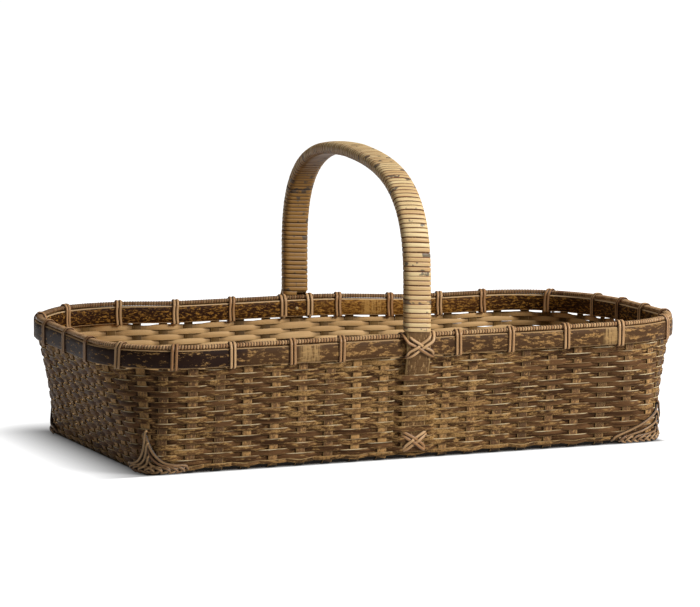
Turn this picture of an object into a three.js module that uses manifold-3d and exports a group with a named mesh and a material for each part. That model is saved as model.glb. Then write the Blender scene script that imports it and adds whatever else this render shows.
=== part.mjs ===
// Woven bamboo bread basket with a fixed, cane-wrapped arch handle.
// Millimetres, +Z up. The basket stands on z = 0, its length lies along X and its front wall faces -Y.
// Splits of bamboo cross on the floor and turn up as the stakes of the walls. Flat strips are woven
// round them row by row, two bands and a filler rod make the rim, and the handle's two legs go down
// outside the rim into the weave.

import * as THREE from 'three';
import Module from 'manifold-3d';
import { mergeVertices } from 'three/addons/utils/BufferGeometryUtils.js';

const wasm = await Module();
wasm.setup();

// Clearances
const clearance = 0.3;
const bandClearance = 0.45;
const rowGap = 0.45;
const turnGap = 0.6;
const wrapClearance = 0.55;

// Wall at the middle of the stakes, at the rim and on the floor, which is smaller by the slope of the walls
const rimLength = 442.3;
const rimWidth = 232.5;
const rimCornerRadius = 63.5;
const slopeLengthways = 20.65;
const slopeCrossways = 8.75;
const footCornerRadius = 10;

// Stakes: splits that run across the floor, or along it, and up both walls
const stakeWidth = 6.6;
const stakeThickness = 0.8;
const crossStakes = 21;
const lengthStakes = 12;
const footCornerStep = 18.2;
const footCrossShare = 0.6725;
const rimCornerStep = 16;
const rimCrossShare = 0.697;
const foldHeight = 1.2;
const twistStep = 0.12;

// Woven rows
const weftRows = 12;
const weftHeight = 5.05;
const weftThickness = 0.7;
const footStrandHeight = 4.4;
const footStrandThickness = 1.2;
const footStrandLift = 2.8;

// Rim: an outer and an inner band, a filler rod on them and the cane that binds them
const bandHeight = 13;
const bandThickness = 3;
const underBandGap = 1.8;
const fillerWidth = 5.4;
const fillerHeight = 3;
const bindingTurns = 24;
const bindingWidth = 5.2;
const bindingThickness = 0.8;
const runShares = [0.35, 0.65];

// Handle: a stout bamboo core, wrapped with cane above the rim and pared from its inner side to thin legs
// that are woven into the long walls
const coreWidth = 18.2;
const coreThickness = 7.4;
const coreChamfer = 1.2;
const rimLegThickness = 2.8;
const coreShoulder = 0.9;
const legThickness = 2.2;
const handleHeight = 216;
const archShoulder = 2.5;
const archSpring = 122;
const wrapTurns = 24;
const wrapThickness = 0.7;
const wrapMargin = 1.5;

// Cane lashings at the legs and the foot's corners, and the pegs that pin the legs
const lashingWidth = 2.8;
const lashingThickness = 0.8;
const lashingLift = 1.3;
const pegRadius = 1.5;
const pegHead = 0.5;
const cornerReach = 24;
const cornerHeight = 25;
const cornerStrands = 3;
const cornerStrandHeight = 3.4;
const cornerBarHeight = 3.2;
const strandInset = 1;

// Below this angle between its neighbours, in radians, a stake counts as standing in a straight wall
const straightAngle = 0.045;

// Heights that follow from the stack of rows
const floorTop = 2 * stakeThickness + clearance;
const rowPitch = weftHeight + rowGap;
const firstRow = footStrandLift + footStrandHeight + rowGap;
const weaveTop = firstRow + weftRows * rowPitch - rowGap;
const bandBottom = weaveTop + underBandGap;
const bandTop = bandBottom + bandHeight;
const stakeTop = bandTop - clearance;
const fillerBottom = bandTop + clearance;
const fillerTop = fillerBottom + fillerHeight;

// Distances outward from the middle of the stakes
const stakeFace = stakeThickness / 2;
const bandInner = stakeFace + bandClearance;
const bandOuter = bandInner + bandThickness;
const rimFace = bandOuter + clearance;
const legFace = stakeFace + clearance;
const legOuter = rimFace + rimLegThickness;
const coreOffset = legOuter - coreThickness / 2;

function outline(length, width, radius) {
  return { flatX: length / 2 - radius, flatY: width / 2 - radius, radius };
}

const rimLine = outline(rimLength, rimWidth, rimCornerRadius);
const footLine = outline(rimLength - 2 * slopeLengthways, rimWidth - 2 * slopeCrossways, footCornerRadius);

// A quarter of an outline's length, from the middle of a long wall to the middle of a short one
function quarter(line) {
  return line.flatX + line.flatY + (line.radius * Math.PI) / 2;
}

// The point and outward normal at a distance along an outline from the middle of the front wall
function pointOn(line, distance) {
  const turn = quarter(line);
  const along = THREE.MathUtils.euclideanModulo(distance, 4 * turn);
  const part = Math.floor(along / turn);
  const fromLongWall = part % 2 === 0 ? along - part * turn : (part + 1) * turn - along;
  const signX = part < 2 ? 1 : -1;
  const signY = part === 1 || part === 2 ? 1 : -1;
  const angle = THREE.MathUtils.clamp((fromLongWall - line.flatX) / line.radius, 0, Math.PI / 2);
  const beyond = Math.max(0, fromLongWall - line.flatX - (line.radius * Math.PI) / 2);
  const normal = new THREE.Vector3(signX * Math.sin(angle), signY * Math.cos(angle), 0);
  const point = normal.clone().multiplyScalar(line.radius);
  point.x += signX * Math.min(fromLongWall, line.flatX);
  point.y += signY * (line.flatY - beyond);
  return { point, normal };
}

// How far up the slope of the wall a height lies: 0 at the foot, 1 from the top row upward
function rise(z) {
  return THREE.MathUtils.clamp((z - floorTop) / (weaveTop - floorTop), 0, 1);
}

function wallLine(z) {
  const up = rise(z);
  return {
    flatX: THREE.MathUtils.lerp(footLine.flatX, rimLine.flatX, up),
    flatY: THREE.MathUtils.lerp(footLine.flatY, rimLine.flatY, up),
    radius: THREE.MathUtils.lerp(footLine.radius, rimLine.radius, up),
  };
}

function wallDistances(middle, count, pitch) {
  return Array.from({ length: count }, (_, i) => middle + (i - (count - 1) / 2) * pitch);
}

// The distances of all stakes round an outline, from the middle of the front wall. Each corner takes one
// step, and the long walls take a share of what is left of the outline's quarter.
function stakeDistances(line, cornerStep, crossShare) {
  const turn = quarter(line);
  const span = turn - cornerStep;
  const crossPitch = (2 * span * crossShare) / (crossStakes - 1);
  const lengthPitch = (2 * span * (1 - crossShare)) / (lengthStakes - 1);
  const front = wallDistances(0, crossStakes, crossPitch).map((d) => (d < 0 ? d + 4 * turn : d));
  const right = wallDistances(turn, lengthStakes, lengthPitch);
  const back = wallDistances(2 * turn, crossStakes, crossPitch);
  const left = wallDistances(3 * turn, lengthStakes, lengthPitch);
  return [...front, ...right, ...back, ...left].sort((a, b) => a - b);
}

const footDistances = stakeDistances(footLine, footCornerStep, footCrossShare);
const rimDistances = stakeDistances(rimLine, rimCornerStep, rimCrossShare);
const stakeCount = footDistances.length;

// The wall that a stake belongs to, as the flat outward normal of its fold on the floor
function foldNormal(index) {
  const half = (crossStakes - 1) / 2;
  const starts = [half + 1, half + 1 + lengthStakes, half + 1 + lengthStakes + crossStakes];
  if (index < starts[0] || index >= starts[2] + lengthStakes) return new THREE.Vector3(0, -1, 0);
  if (index < starts[1]) return new THREE.Vector3(1, 0, 0);
  if (index < starts[2]) return new THREE.Vector3(0, 1, 0);
  return new THREE.Vector3(-1, 0, 0);
}

// A stake's middle at a height, with its outward normal and the direction across its width
function stakeAt(index, z) {
  const k = THREE.MathUtils.euclideanModulo(index, stakeCount);
  const up = rise(z);
  const foot = pointOn(footLine, footDistances[k]);
  const rim = pointOn(rimLine, rimDistances[k]);
  const point = foot.point.lerp(rim.point, up).setZ(z);
  const normal = foldNormal(k).lerp(rim.normal, up).normalize();
  const across = new THREE.Vector3(-normal.y, normal.x, 0);
  return { point, normal, across };
}

function moved(point, ...steps) {
  const end = point.clone();
  for (const [direction, distance] of steps) end.addScaledVector(direction, distance);
  return end;
}

// A closed body through sections of equal corner counts, as a ring or with flat ends
function sweep(sections, ring = false) {
  const corners = sections[0].length;
  const geometry = new THREE.BufferGeometry().setFromPoints(sections.flat());
  const index = [];
  const lastPair = ring ? sections.length : sections.length - 1;
  for (let i = 0; i < lastPair; i += 1) {
    const here = i * corners;
    const next = ((i + 1) % sections.length) * corners;
    for (let j = 0; j < corners; j += 1) {
      const k = (j + 1) % corners;
      index.push(here + j, next + j, next + k, here + j, next + k, here + k);
    }
  }
  const last = (sections.length - 1) * corners;
  for (let j = 1; j < corners - 1 && !ring; j += 1) {
    index.push(0, j, j + 1, last, last + j + 1, last + j);
  }
  geometry.setIndex(index);
  return facingOut(geometry);
}

function signedVolume(geometry) {
  const position = geometry.getAttribute('position');
  const index = geometry.getIndex();
  const [a, b, c] = [new THREE.Vector3(), new THREE.Vector3(), new THREE.Vector3()];
  let volume = 0;
  for (let i = 0; i < index.count; i += 3) {
    a.fromBufferAttribute(position, index.getX(i));
    b.fromBufferAttribute(position, index.getX(i + 1));
    c.fromBufferAttribute(position, index.getX(i + 2));
    volume += a.dot(b.cross(c)) / 6;
  }
  return volume;
}

function facingOut(geometry) {
  if (signedVolume(geometry) < 0) {
    const index = geometry.getIndex();
    for (let i = 0; i < index.count; i += 3) {
      const second = index.getX(i + 1);
      index.setX(i + 1, index.getX(i + 2));
      index.setX(i + 2, second);
    }
  }
  geometry.computeVertexNormals();
  return geometry;
}

// Four corners of a flat strip's section
function stripSection(centre, widthway, width, thickway, thickness) {
  const w = width / 2;
  const t = thickness / 2;
  return [[-w, -t], [w, -t], [w, t], [-w, t]].map(([a, b]) => moved(centre, [widthway, a], [thickway, b]));
}

function toSolid(geometry) {
  const plain = geometry.clone();
  plain.deleteAttribute('normal');
  plain.deleteAttribute('uv');
  const merged = mergeVertices(plain, 1e-4);
  return new wasm.Manifold(new wasm.Mesh({
    numProp: 3,
    vertProperties: new Float32Array(merged.getAttribute('position').array),
    triVerts: new Uint32Array(merged.getIndex().array),
  }));
}

function toGeometry(solid) {
  const mesh = solid.getMesh();
  const geometry = new THREE.BufferGeometry();
  geometry.setAttribute('position', new THREE.BufferAttribute(mesh.vertProperties, 3));
  geometry.setIndex(new THREE.BufferAttribute(mesh.triVerts, 1));
  geometry.computeVertexNormals();
  return geometry;
}

function drilled(geometry, tool) {
  return toGeometry(toSolid(geometry).subtract(toSolid(tool)));
}

// The least distance between a strand's corners that lie at least some sections apart
function leastGap(sections, sectionsApart) {
  let least = Infinity;
  sections.forEach((section, i) => {
    for (const other of sections.slice(i + sectionsApart)) {
      for (const p of section) {
        for (const q of other) least = Math.min(least, p.distanceTo(q));
      }
    }
  });
  return least;
}

function reportGap(name, sections, sectionsApart) {
  console.log(`${name}: least gap to itself ${leastGap(sections, sectionsApart).toFixed(2)} mm`);
}

// Floor and stakes

const straightUp = new THREE.Vector3(0, 0, 1);
const straightDown = new THREE.Vector3(0, 0, -1);

// One split: up one wall, folded onto the floor in its layer, and mirrored up the other wall
function stakeSplit(index, layer) {
  const floorHeight = layer * (stakeThickness + clearance) + stakeFace;
  const fold = foldNormal(index);
  const across = new THREE.Vector3(-fold.y, fold.x, 0);
  const foot = stakeAt(index, 0).point;
  const twist = fold.angleTo(stakeAt(index, weaveTop).normal);
  const steps = Math.ceil(twist / twistStep) || 1;
  const low = floorHeight + foldHeight;
  const slope = Array.from({ length: steps + 1 }, (_, i) => THREE.MathUtils.lerp(weaveTop, low, i / steps));
  const wall = [stakeTop, ...slope].map((z) => {
    const { point, normal, across: width } = stakeAt(index, z);
    return stripSection(point, width, stakeWidth, normal, stakeThickness);
  });
  const floorEdge = moved(foot, [fold, -foldHeight]).setZ(floorHeight);
  const half = [...wall, stripSection(floorEdge, across, stakeWidth, straightDown, stakeThickness)];
  const other = half.map((section) => section.map((p) => mirrored(p, fold))).reverse();
  return sweep([...half, ...other]);
}

// The same place on the opposite wall
function mirrored(point, normal) {
  return moved(point, [normal, -2 * point.dot(normal)]);
}

// Woven rows

function smallestPitch() {
  const spans = footDistances.map((_, k) => {
    const foot = stakeAt(k, 0).point.distanceTo(stakeAt(k + 1, 0).point);
    const rim = stakeAt(k, weaveTop).point.distanceTo(stakeAt(k + 1, weaveTop).point);
    return Math.min(foot, rim);
  });
  return Math.min(...spans);
}

const openShare = 1 - stakeWidth / smallestPitch();

// How far a strip's middle stands off the stakes' middle where it has one section for each stake
function weaveOffset(thickness) {
  return (stakeFace + clearance + thickness / 2) / openShare;
}

const frontLeg = 0;
const backLeg = stakeCount / 2;
const legStakes = [frontLeg, backLeg];

function passesOutside(index, row) {
  return THREE.MathUtils.euclideanModulo(index + row, 2) === 0;
}

function rowBottom(row) {
  return firstRow + row * rowPitch;
}

// The highest row that crosses outside a leg
function lastRowOverLeg(legIndex) {
  const highest = weftRows - 2;
  return passesOutside(legIndex, highest) ? highest : highest - 1;
}

// Whether the wall bends from one stake's neighbour to the other
function turnsAt(index, z) {
  const before = stakeAt(index - 1, z).normal;
  const after = stakeAt(index + 1, z).normal;
  return before.angleTo(after) > straightAngle;
}

// Where a strip passes one stake: shifts along the wall and offsets from the stakes' middle
function passes(index, row, z, thickness) {
  const outside = passesOutside(index, row);
  const edge = stakeWidth / 2 + 2 * clearance;
  const close = stakeFace + 1.5 * clearance + thickness / 2;
  const legEdge = coreWidth / 2 + 2 * clearance;
  const overLeg = legFace + legThickness + clearance + thickness / 2;
  const isLeg = legStakes.includes(index);
  const besideLeg = legStakes.some((leg) => (index + 1) % stakeCount === leg || index === leg + 1);
  const coversLeg = outside && row >= 0 && row <= lastRowOverLeg(index);
  if (isLeg && coversLeg) return [[-legEdge, overLeg], [legEdge, overLeg]];
  if (besideLeg && !outside) return [[-edge, -close], [edge, -close]];
  if (outside && turnsAt(index, z)) return [[-edge, close], [edge, close]];
  return [[0, (outside ? 1 : -1) * weaveOffset(thickness)]];
}

// A strip's section beside a stake, leaning with the wall between its two heights
function weaveSection(index, shift, offset, low, high, thickness) {
  const corner = (z, side) => {
    const { point, normal, across } = stakeAt(index, z);
    return moved(point, [across, shift], [normal, offset + (side * thickness) / 2]);
  };
  return [corner(low, -1), corner(low, 1), corner(high, 1), corner(high, -1)];
}

// One closed row of weaving, over and under every other stake
function wovenRow(row, low, height, thickness) {
  const middle = low + height / 2;
  const sections = [];
  for (let index = 0; index < stakeCount; index += 1) {
    for (const [shift, offset] of passes(index, row, middle, thickness)) {
      sections.push(weaveSection(index, shift, offset, low, low + height, thickness));
    }
  }
  return sweep(sections, true);
}

// Rim

function roundedShape(target, line, offset) {
  const { flatX, flatY } = line;
  const radius = line.radius + offset;
  target.absarc(flatX, -flatY, radius, -Math.PI / 2, 0);
  target.absarc(flatX, flatY, radius, 0, Math.PI / 2);
  target.absarc(-flatX, flatY, radius, Math.PI / 2, Math.PI);
  target.absarc(-flatX, -flatY, radius, Math.PI, 1.5 * Math.PI);
  return target;
}

function rimBand(inside, outside) {
  const shape = roundedShape(new THREE.Shape(), rimLine, outside);
  shape.holes.push(roundedShape(new THREE.Path(), rimLine, inside));
  return new THREE.ExtrudeGeometry(shape, { depth: bandHeight, bevelEnabled: false, curveSegments: 6 });
}

// The filler rod, six-sided and flattened, round the rim on both bands
function fillerRod() {
  const profile = [[-1, 0.5], [-0.5, 1], [0.5, 1], [1, 0.5], [0.6, 0], [-0.6, 0]];
  const arcSteps = 10;
  const arc = (rimLine.radius * Math.PI) / 2;
  const turn = quarter(rimLine);
  const sections = [];
  for (let side = 0; side < 4; side += 1) {
    const start = side * turn + (side % 2 === 0 ? rimLine.flatX : rimLine.flatY);
    for (let step = 0; step <= arcSteps; step += 1) {
      const { point, normal } = pointOn(rimLine, start + (arc * step) / arcSteps);
      sections.push(profile.map(([out, up]) => moved(
        point.clone().setZ(fillerBottom),
        [normal, (out * fillerWidth) / 2],
        [straightUp, up * fillerHeight],
      )));
    }
  }
  return sweep(sections, true);
}

// Where each binding goes under the bands, in the middle between two stakes
function bindingDistances() {
  const turn = quarter(rimLine);
  return Array.from({ length: bindingTurns }, (_, i) => {
    const gap = Math.floor(((i + 0.5) * stakeCount) / bindingTurns);
    const next = gap + 1 < stakeCount ? rimDistances[gap + 1] : 4 * turn;
    return (rimDistances[gap] + next) / 2;
  });
}

// One length of cane: along the top of the filler, then once round bands and filler at each binding
function rimBinding() {
  const drift = bindingWidth + turnGap;
  const side = rimFace + bindingThickness / 2;
  const top = fillerTop + clearance + bindingThickness / 2;
  const bottom = bandBottom - clearance - bindingThickness / 2;
  const shoulder = fillerWidth / 2 + clearance;
  const cut = fillerTop - fillerHeight / 2;
  const loop = [
    [0, shoulder, top, 0, 1],
    [0, side, cut, 1, 0.3],
    [0, side, bottom, 1, -1],
    [1, -side, bottom, -1, -1],
    [1, -side, cut, -1, 0.3],
    [1, -shoulder, top, 0, 1],
  ];
  const place = (distance, offset, height) => {
    const { point, normal } = pointOn(rimLine, distance);
    const along = new THREE.Vector3(-normal.y, normal.x, 0);
    return { centre: moved(point, [normal, offset]).setZ(height), normal, along };
  };
  const mitre = (distance) => {
    const { centre, normal, along } = place(distance, 0, top);
    return stripSection(centre, moved(normal, [along, -1]), bindingWidth, straightUp, bindingThickness);
  };
  const run = (distance) => {
    const { centre, normal } = place(distance, 0, top);
    return stripSection(centre, normal, bindingWidth, straightUp, bindingThickness);
  };
  const sections = [];
  const distances = bindingDistances();
  distances.forEach((middle, i) => {
    const start = middle - drift / 2;
    sections.push(mitre(start));
    for (const [shift, offset, height, out, up] of loop) {
      const { centre, normal, along } = place(start + shift * drift, offset, height);
      const thickway = normal.clone().multiplyScalar(out).setZ(up).normalize();
      sections.push(stripSection(centre, along.negate(), bindingWidth, thickway, bindingThickness));
    }
    if (i === distances.length - 1) return;
    sections.push(mitre(start + drift));
    const runLength = distances[i + 1] - middle - drift;
    for (const share of runShares) sections.push(run(start + drift + share * runLength));
  });
  return sections;
}

// Handle

class Shoulders extends THREE.Curve {
  constructor(halfWidth, spring, top) {
    super();
    this.halfWidth = halfWidth;
    this.spring = spring;
    this.height = top - spring;
  }

  getPoint(t) {
    const power = 2 / archShoulder;
    const cos = Math.cos(Math.PI * t);
    const y = -this.halfWidth * Math.sign(cos) * Math.abs(cos) ** power;
    const z = this.spring + this.height * Math.abs(Math.sin(Math.PI * t)) ** power;
    return new THREE.Vector3(0, y, z);
  }
}

const legTop = fillerTop + 3 * clearance + bindingThickness + lashingThickness;
const archHalfWidth = rimWidth / 2 + coreOffset;
const wrapStandOff = wrapClearance + wrapThickness;

function archPath() {
  const top = handleHeight - wrapStandOff - coreThickness / 2;
  const path = new THREE.CurvePath();
  const foot = (y, z) => new THREE.Vector3(0, y, z);
  path.add(new THREE.LineCurve3(foot(-archHalfWidth, legTop), foot(-archHalfWidth, archSpring)));
  path.add(new Shoulders(archHalfWidth, archSpring, top));
  path.add(new THREE.LineCurve3(foot(archHalfWidth, archSpring), foot(archHalfWidth, legTop)));
  return path;
}

// The arch's middle line and outward direction at a distance from its front end
function archAt(path, distance) {
  const share = THREE.MathUtils.clamp(distance / path.getLength(), 0, 1);
  const centre = path.getPoint(share);
  const tangent = path.getTangent(share);
  const outward = new THREE.Vector3(0, -tangent.z, tangent.y);
  return { centre, outward };
}

const lengthway = new THREE.Vector3(1, 0, 0);

// Eight corners of a flat section with cut edges
function cutSection(centre, outward, width, thickness, chamfer) {
  const w = width / 2;
  const t = thickness / 2;
  const c = chamfer;
  const corners = [[w, t - c], [w - c, t], [-w + c, t], [-w, t - c], [-w, -t + c], [-w + c, -t], [w - c, -t], [w, -t + c]];
  return corners.map(([x, n]) => moved(centre, [lengthway, x], [outward, n]));
}

// A leg from its tip in the weave up to the rim: inner face and thickness at each height
function legSections(legIndex) {
  const { normal } = stakeAt(legIndex, bandTop);
  const woven = rowBottom(lastRowOverLeg(legIndex)) + weftHeight + rowGap / 2;
  const knee = woven + rowPitch;
  const kneeFace = weaveOffset(weftThickness) + weftThickness / 2 + clearance;
  const stations = [
    [firstRow + clearance, legFace, legThickness],
    [woven, legFace, legThickness],
    [knee, kneeFace, legThickness],
    [bandBottom - clearance, rimFace, rimLegThickness],
    [legTop - coreShoulder, rimFace, rimLegThickness],
  ];
  return stations.map(([z, face, thickness]) => {
    const centre = moved(stakeAt(legIndex, z).point, [normal, face + thickness / 2]);
    return cutSection(centre, normal, coreWidth, thickness, Math.min(coreChamfer, thickness / 3));
  });
}

function handleCore() {
  const path = archPath();
  const steps = 40;
  const arch = Array.from({ length: steps + 1 }, (_, i) => {
    const { centre, outward } = archAt(path, (path.getLength() * i) / steps);
    return cutSection(centre, outward, coreWidth, coreThickness, coreChamfer);
  });
  const front = legSections(frontLeg);
  const back = legSections(backLeg).reverse();
  return sweep([...front, ...arch, ...back]);
}

// The cane round the arch: one strip in open turns, side by side from rim to rim
function handleWrap() {
  const path = archPath();
  const pitch = (path.getLength() - 2 * wrapMargin) / (wrapTurns + 1);
  const width = pitch - turnGap;
  const halfWidth = coreWidth / 2 + clearance;
  const halfThickness = coreThickness / 2 + wrapClearance;
  const edges = [[1, 1], [-1, 1], [-1, -1], [1, -1]];
  const sideShare = halfWidth / (halfWidth + halfThickness) / 2;
  const place = (distance, [x, n], depth) => {
    const { centre, outward } = archAt(path, distance);
    return moved(centre, [lengthway, x * (halfWidth + depth)], [outward, n * (halfThickness + depth)]);
  };
  const sections = [];
  let along = wrapMargin + pitch / 2;
  for (let step = 0; step <= wrapTurns * edges.length; step += 1) {
    const edge = edges[step % edges.length];
    const stations = [along - width / 2, along, along + width / 2];
    const inner = stations.map((distance) => place(distance, edge, 0));
    const outer = stations.map((distance) => place(distance, edge, wrapThickness));
    sections.push([...inner, ...outer.reverse()]);
    along += pitch * (step % 2 === 0 ? sideShare : 0.5 - sideShare);
  }
  return sections;
}

// A cross of cane over a leg at the rim: over the top, across, under the bands and back across
function legLashing() {
  const side = coreWidth / 2 + clearance + lashingWidth / 2;
  const half = lashingThickness / 2;
  const face = legOuter + clearance + half;
  const inside = -rimFace - half;
  const top = fillerTop + clearance + bindingThickness + clearance + half;
  const bottom = bandBottom - clearance - half;
  const middle = (top + bottom) / 2;
  const across = (x, y, z, widthway, thickway) => {
    const centre = new THREE.Vector3(x, -rimWidth / 2 - y, z);
    return stripSection(centre, widthway, lashingWidth, thickway, lashingThickness);
  };
  const facing = (y, z) => new THREE.Vector3(0, y, z).normalize();
  const [out, inward] = [facing(-1, 0), facing(1, 0)];
  const [upOut, downOut, upIn, downIn] = [facing(-1, 1), facing(-1, -1), facing(1, 1), facing(1, -1)];
  const slope = new THREE.Vector3(top - bottom, 0, 2 * side).normalize();
  const slopeBack = new THREE.Vector3(bottom - top, 0, 2 * side).normalize();
  return [
    across(-side, inside, middle + lashingWidth, lengthway, inward),
    across(-side, inside, top, lengthway, upIn),
    across(-side, face, top, lengthway, upOut),
    across(0, face, middle, slope, out),
    across(side, face, bottom, lengthway, downOut),
    across(side, inside, bottom, lengthway, downIn),
    across(side, inside, top, lengthway, upIn),
    across(side, face, top, lengthway, upOut),
    across(0, face + lashingLift, middle, slopeBack, out),
    across(-side, face, bottom, lengthway, downOut),
    across(-side, inside, bottom, lengthway, downIn),
    across(-side, inside, middle - lashingWidth, lengthway, inward),
  ];
}

function pegBody(radius, extra) {
  const length = legOuter + bandOuter + pegHead;
  return new THREE.CylinderGeometry(radius, radius, length + 2 * extra, 12);
}

// The peg's middle, halfway up the bands, between the leg's outer face and the inner band's face
function pegPlace(sign) {
  const innerEnd = -bandOuter - pegHead;
  const y = rimWidth / 2 + (legOuter + innerEnd) / 2;
  return new THREE.Vector3(0, sign * y, bandBottom + bandHeight / 2);
}

function pegHole() {
  const holes = [-1, 1].map((sign) => {
    const { x, y, z } = pegPlace(sign);
    return toSolid(pegBody(pegRadius + clearance, 1).translate(x, y, z));
  });
  return toGeometry(holes[0].add(holes[1]));
}

// Corner lashing: nested strands over the foot's corner, tied into a bar along the bottom edge
function wallPlace(corner, distance, z, offset) {
  const line = wallLine(z);
  const turn = quarter(line);
  const middle = line.flatX + (line.radius * Math.PI) / 4;
  const round = corner % 2 === 0 ? corner * turn + middle : (corner + 1) * turn - middle;
  const { point, normal } = pointOn(line, round + distance);
  return { point: moved(point, [normal, offset]).setZ(z), normal };
}

function cornerStrip(corner, reach, lowMiddle, highMiddle, height, offset, thickness) {
  const bend = (footCornerRadius * Math.PI) / 4;
  const right = [bend / 2, bend].filter((distance) => distance < reach);
  const stations = [-reach, ...right.map((distance) => -distance).reverse(), 0, ...right, reach];
  return sweep(stations.map((distance) => {
    const z = THREE.MathUtils.lerp(highMiddle, lowMiddle, Math.abs(distance) / reach);
    const { point, normal } = wallPlace(corner, distance, z, offset);
    return stripSection(point, straightUp, height, normal, thickness);
  }));
}

function cornerLashing(corner) {
  const strandFace = weaveOffset(footStrandThickness) + footStrandThickness / 2;
  const offset = strandFace + 2 * clearance + lashingThickness / 2;
  const barMiddle = clearance + cornerBarHeight / 2;
  let body = toSolid(cornerStrip(corner, cornerReach, barMiddle, barMiddle, cornerBarHeight, offset,
    lashingThickness + clearance));
  for (let i = 0; i < cornerStrands; i += 1) {
    const share = 1 - i / cornerStrands;
    const reach = cornerReach * share - strandInset;
    const apex = cornerHeight * share;
    const strand = cornerStrip(corner, reach, barMiddle, apex, cornerStrandHeight, offset, lashingThickness);
    body = body.add(toSolid(strand));
  }
  return toGeometry(body);
}

// Materials

function bamboo(colour, roughness) {
  return new THREE.MeshStandardMaterial({ color: colour, roughness, metalness: 0, flatShading: true });
}

const smokedSkin = () => bamboo(0x5a3d22, 0.5);
const mottledWeft = () => bamboo(0x6e4e2c, 0.55);
const darkBand = () => bamboo(0x3c2716, 0.45);
const rawSplit = () => bamboo(0xb08a58, 0.7);
const paleCane = () => bamboo(0xc9a27a, 0.5);
const strawCane = () => bamboo(0xc4a56c, 0.4);

// Assembly

const basket = new THREE.Group();

function add(name, geometry, material) {
  const mesh = new THREE.Mesh(geometry, material);
  mesh.name = name;
  basket.add(mesh);
  return mesh;
}

function numbered(name, number) {
  return `${name}_${String(number).padStart(2, '0')}`;
}

function addStakes(hole) {
  const half = (crossStakes - 1) / 2;
  for (let i = -half; i <= half; i += 1) {
    const index = THREE.MathUtils.euclideanModulo(i, stakeCount);
    const split = stakeSplit(index, 0);
    add(numbered('cross_split', i + half + 1), i === 0 ? drilled(split, hole) : split, smokedSkin());
  }
  for (let i = 0; i < lengthStakes; i += 1) {
    add(numbered('length_split', i + 1), stakeSplit(half + 1 + i, 1), smokedSkin());
  }
}

function addWeave() {
  add('foot_strand', wovenRow(-1, footStrandLift, footStrandHeight, footStrandThickness), mottledWeft());
  for (let row = 0; row < weftRows; row += 1) {
    add(numbered('weft_row', row + 1), wovenRow(row, rowBottom(row), weftHeight, weftThickness), mottledWeft());
  }
}

function addRim(hole) {
  const bands = { outer_rim_band: [bandInner, bandOuter], inner_rim_band: [-bandOuter, -bandInner] };
  for (const [name, [inside, outside]] of Object.entries(bands)) {
    add(name, drilled(rimBand(inside, outside).translate(0, 0, bandBottom), hole), darkBand());
  }
  add('rim_filler', fillerRod(), rawSplit());
  const binding = rimBinding();
  reportGap('rim_binding', binding, 5);
  add('rim_binding', sweep(binding), paleCane());
}

function addHandle(hole) {
  add('handle_core', drilled(handleCore(), hole), smokedSkin());
  const wrap = handleWrap();
  reportGap('handle_wrap', wrap, 3);
  add('handle_wrap', sweep(wrap), strawCane());
  const lashing = legLashing();
  reportGap('leg_lashing', lashing, 4);
  ['front', 'back'].forEach((side, i) => {
    const sign = i === 0 ? -1 : 1;
    add(`leg_lashing_${side}`, sweep(lashing), paleCane()).rotation.z = i * Math.PI;
    const peg = add(`leg_peg_${side}`, pegBody(pegRadius, 0), rawSplit());
    peg.position.copy(pegPlace(sign));
  });
}

function addCornerLashings() {
  ['front_right', 'back_right', 'back_left', 'front_left'].forEach((place, corner) => {
    add(`corner_lashing_${place}`, cornerLashing(corner), paleCane());
  });
}

const hole = pegHole();
addStakes(hole);
addWeave();
addRim(hole);
addHandle(hole);
addCornerLashings();

export default basket;
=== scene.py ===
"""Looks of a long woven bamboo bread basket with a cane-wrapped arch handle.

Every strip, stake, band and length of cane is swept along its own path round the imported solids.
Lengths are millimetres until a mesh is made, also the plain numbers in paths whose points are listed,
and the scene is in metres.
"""

import math

import bpy
import numpy as np
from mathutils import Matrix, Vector


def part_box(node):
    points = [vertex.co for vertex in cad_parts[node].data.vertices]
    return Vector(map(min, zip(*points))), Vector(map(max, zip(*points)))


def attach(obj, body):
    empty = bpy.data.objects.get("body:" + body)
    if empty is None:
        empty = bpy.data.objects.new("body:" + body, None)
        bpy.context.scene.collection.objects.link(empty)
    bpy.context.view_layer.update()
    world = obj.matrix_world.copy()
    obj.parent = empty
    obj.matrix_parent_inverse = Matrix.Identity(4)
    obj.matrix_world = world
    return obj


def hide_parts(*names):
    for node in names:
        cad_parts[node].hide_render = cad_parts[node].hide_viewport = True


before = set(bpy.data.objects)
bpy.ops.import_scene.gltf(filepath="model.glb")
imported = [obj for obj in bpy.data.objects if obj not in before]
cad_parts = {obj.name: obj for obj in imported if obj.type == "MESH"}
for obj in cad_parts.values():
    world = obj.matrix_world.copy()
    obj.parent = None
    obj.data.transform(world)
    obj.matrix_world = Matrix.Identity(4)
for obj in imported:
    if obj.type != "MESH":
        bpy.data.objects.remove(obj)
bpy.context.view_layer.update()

MM = 0.001
RNG = np.random.default_rng(41)


def height(node):
    """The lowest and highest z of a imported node, in mm."""
    low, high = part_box(node)
    return low.z / MM, high.z / MM


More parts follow.
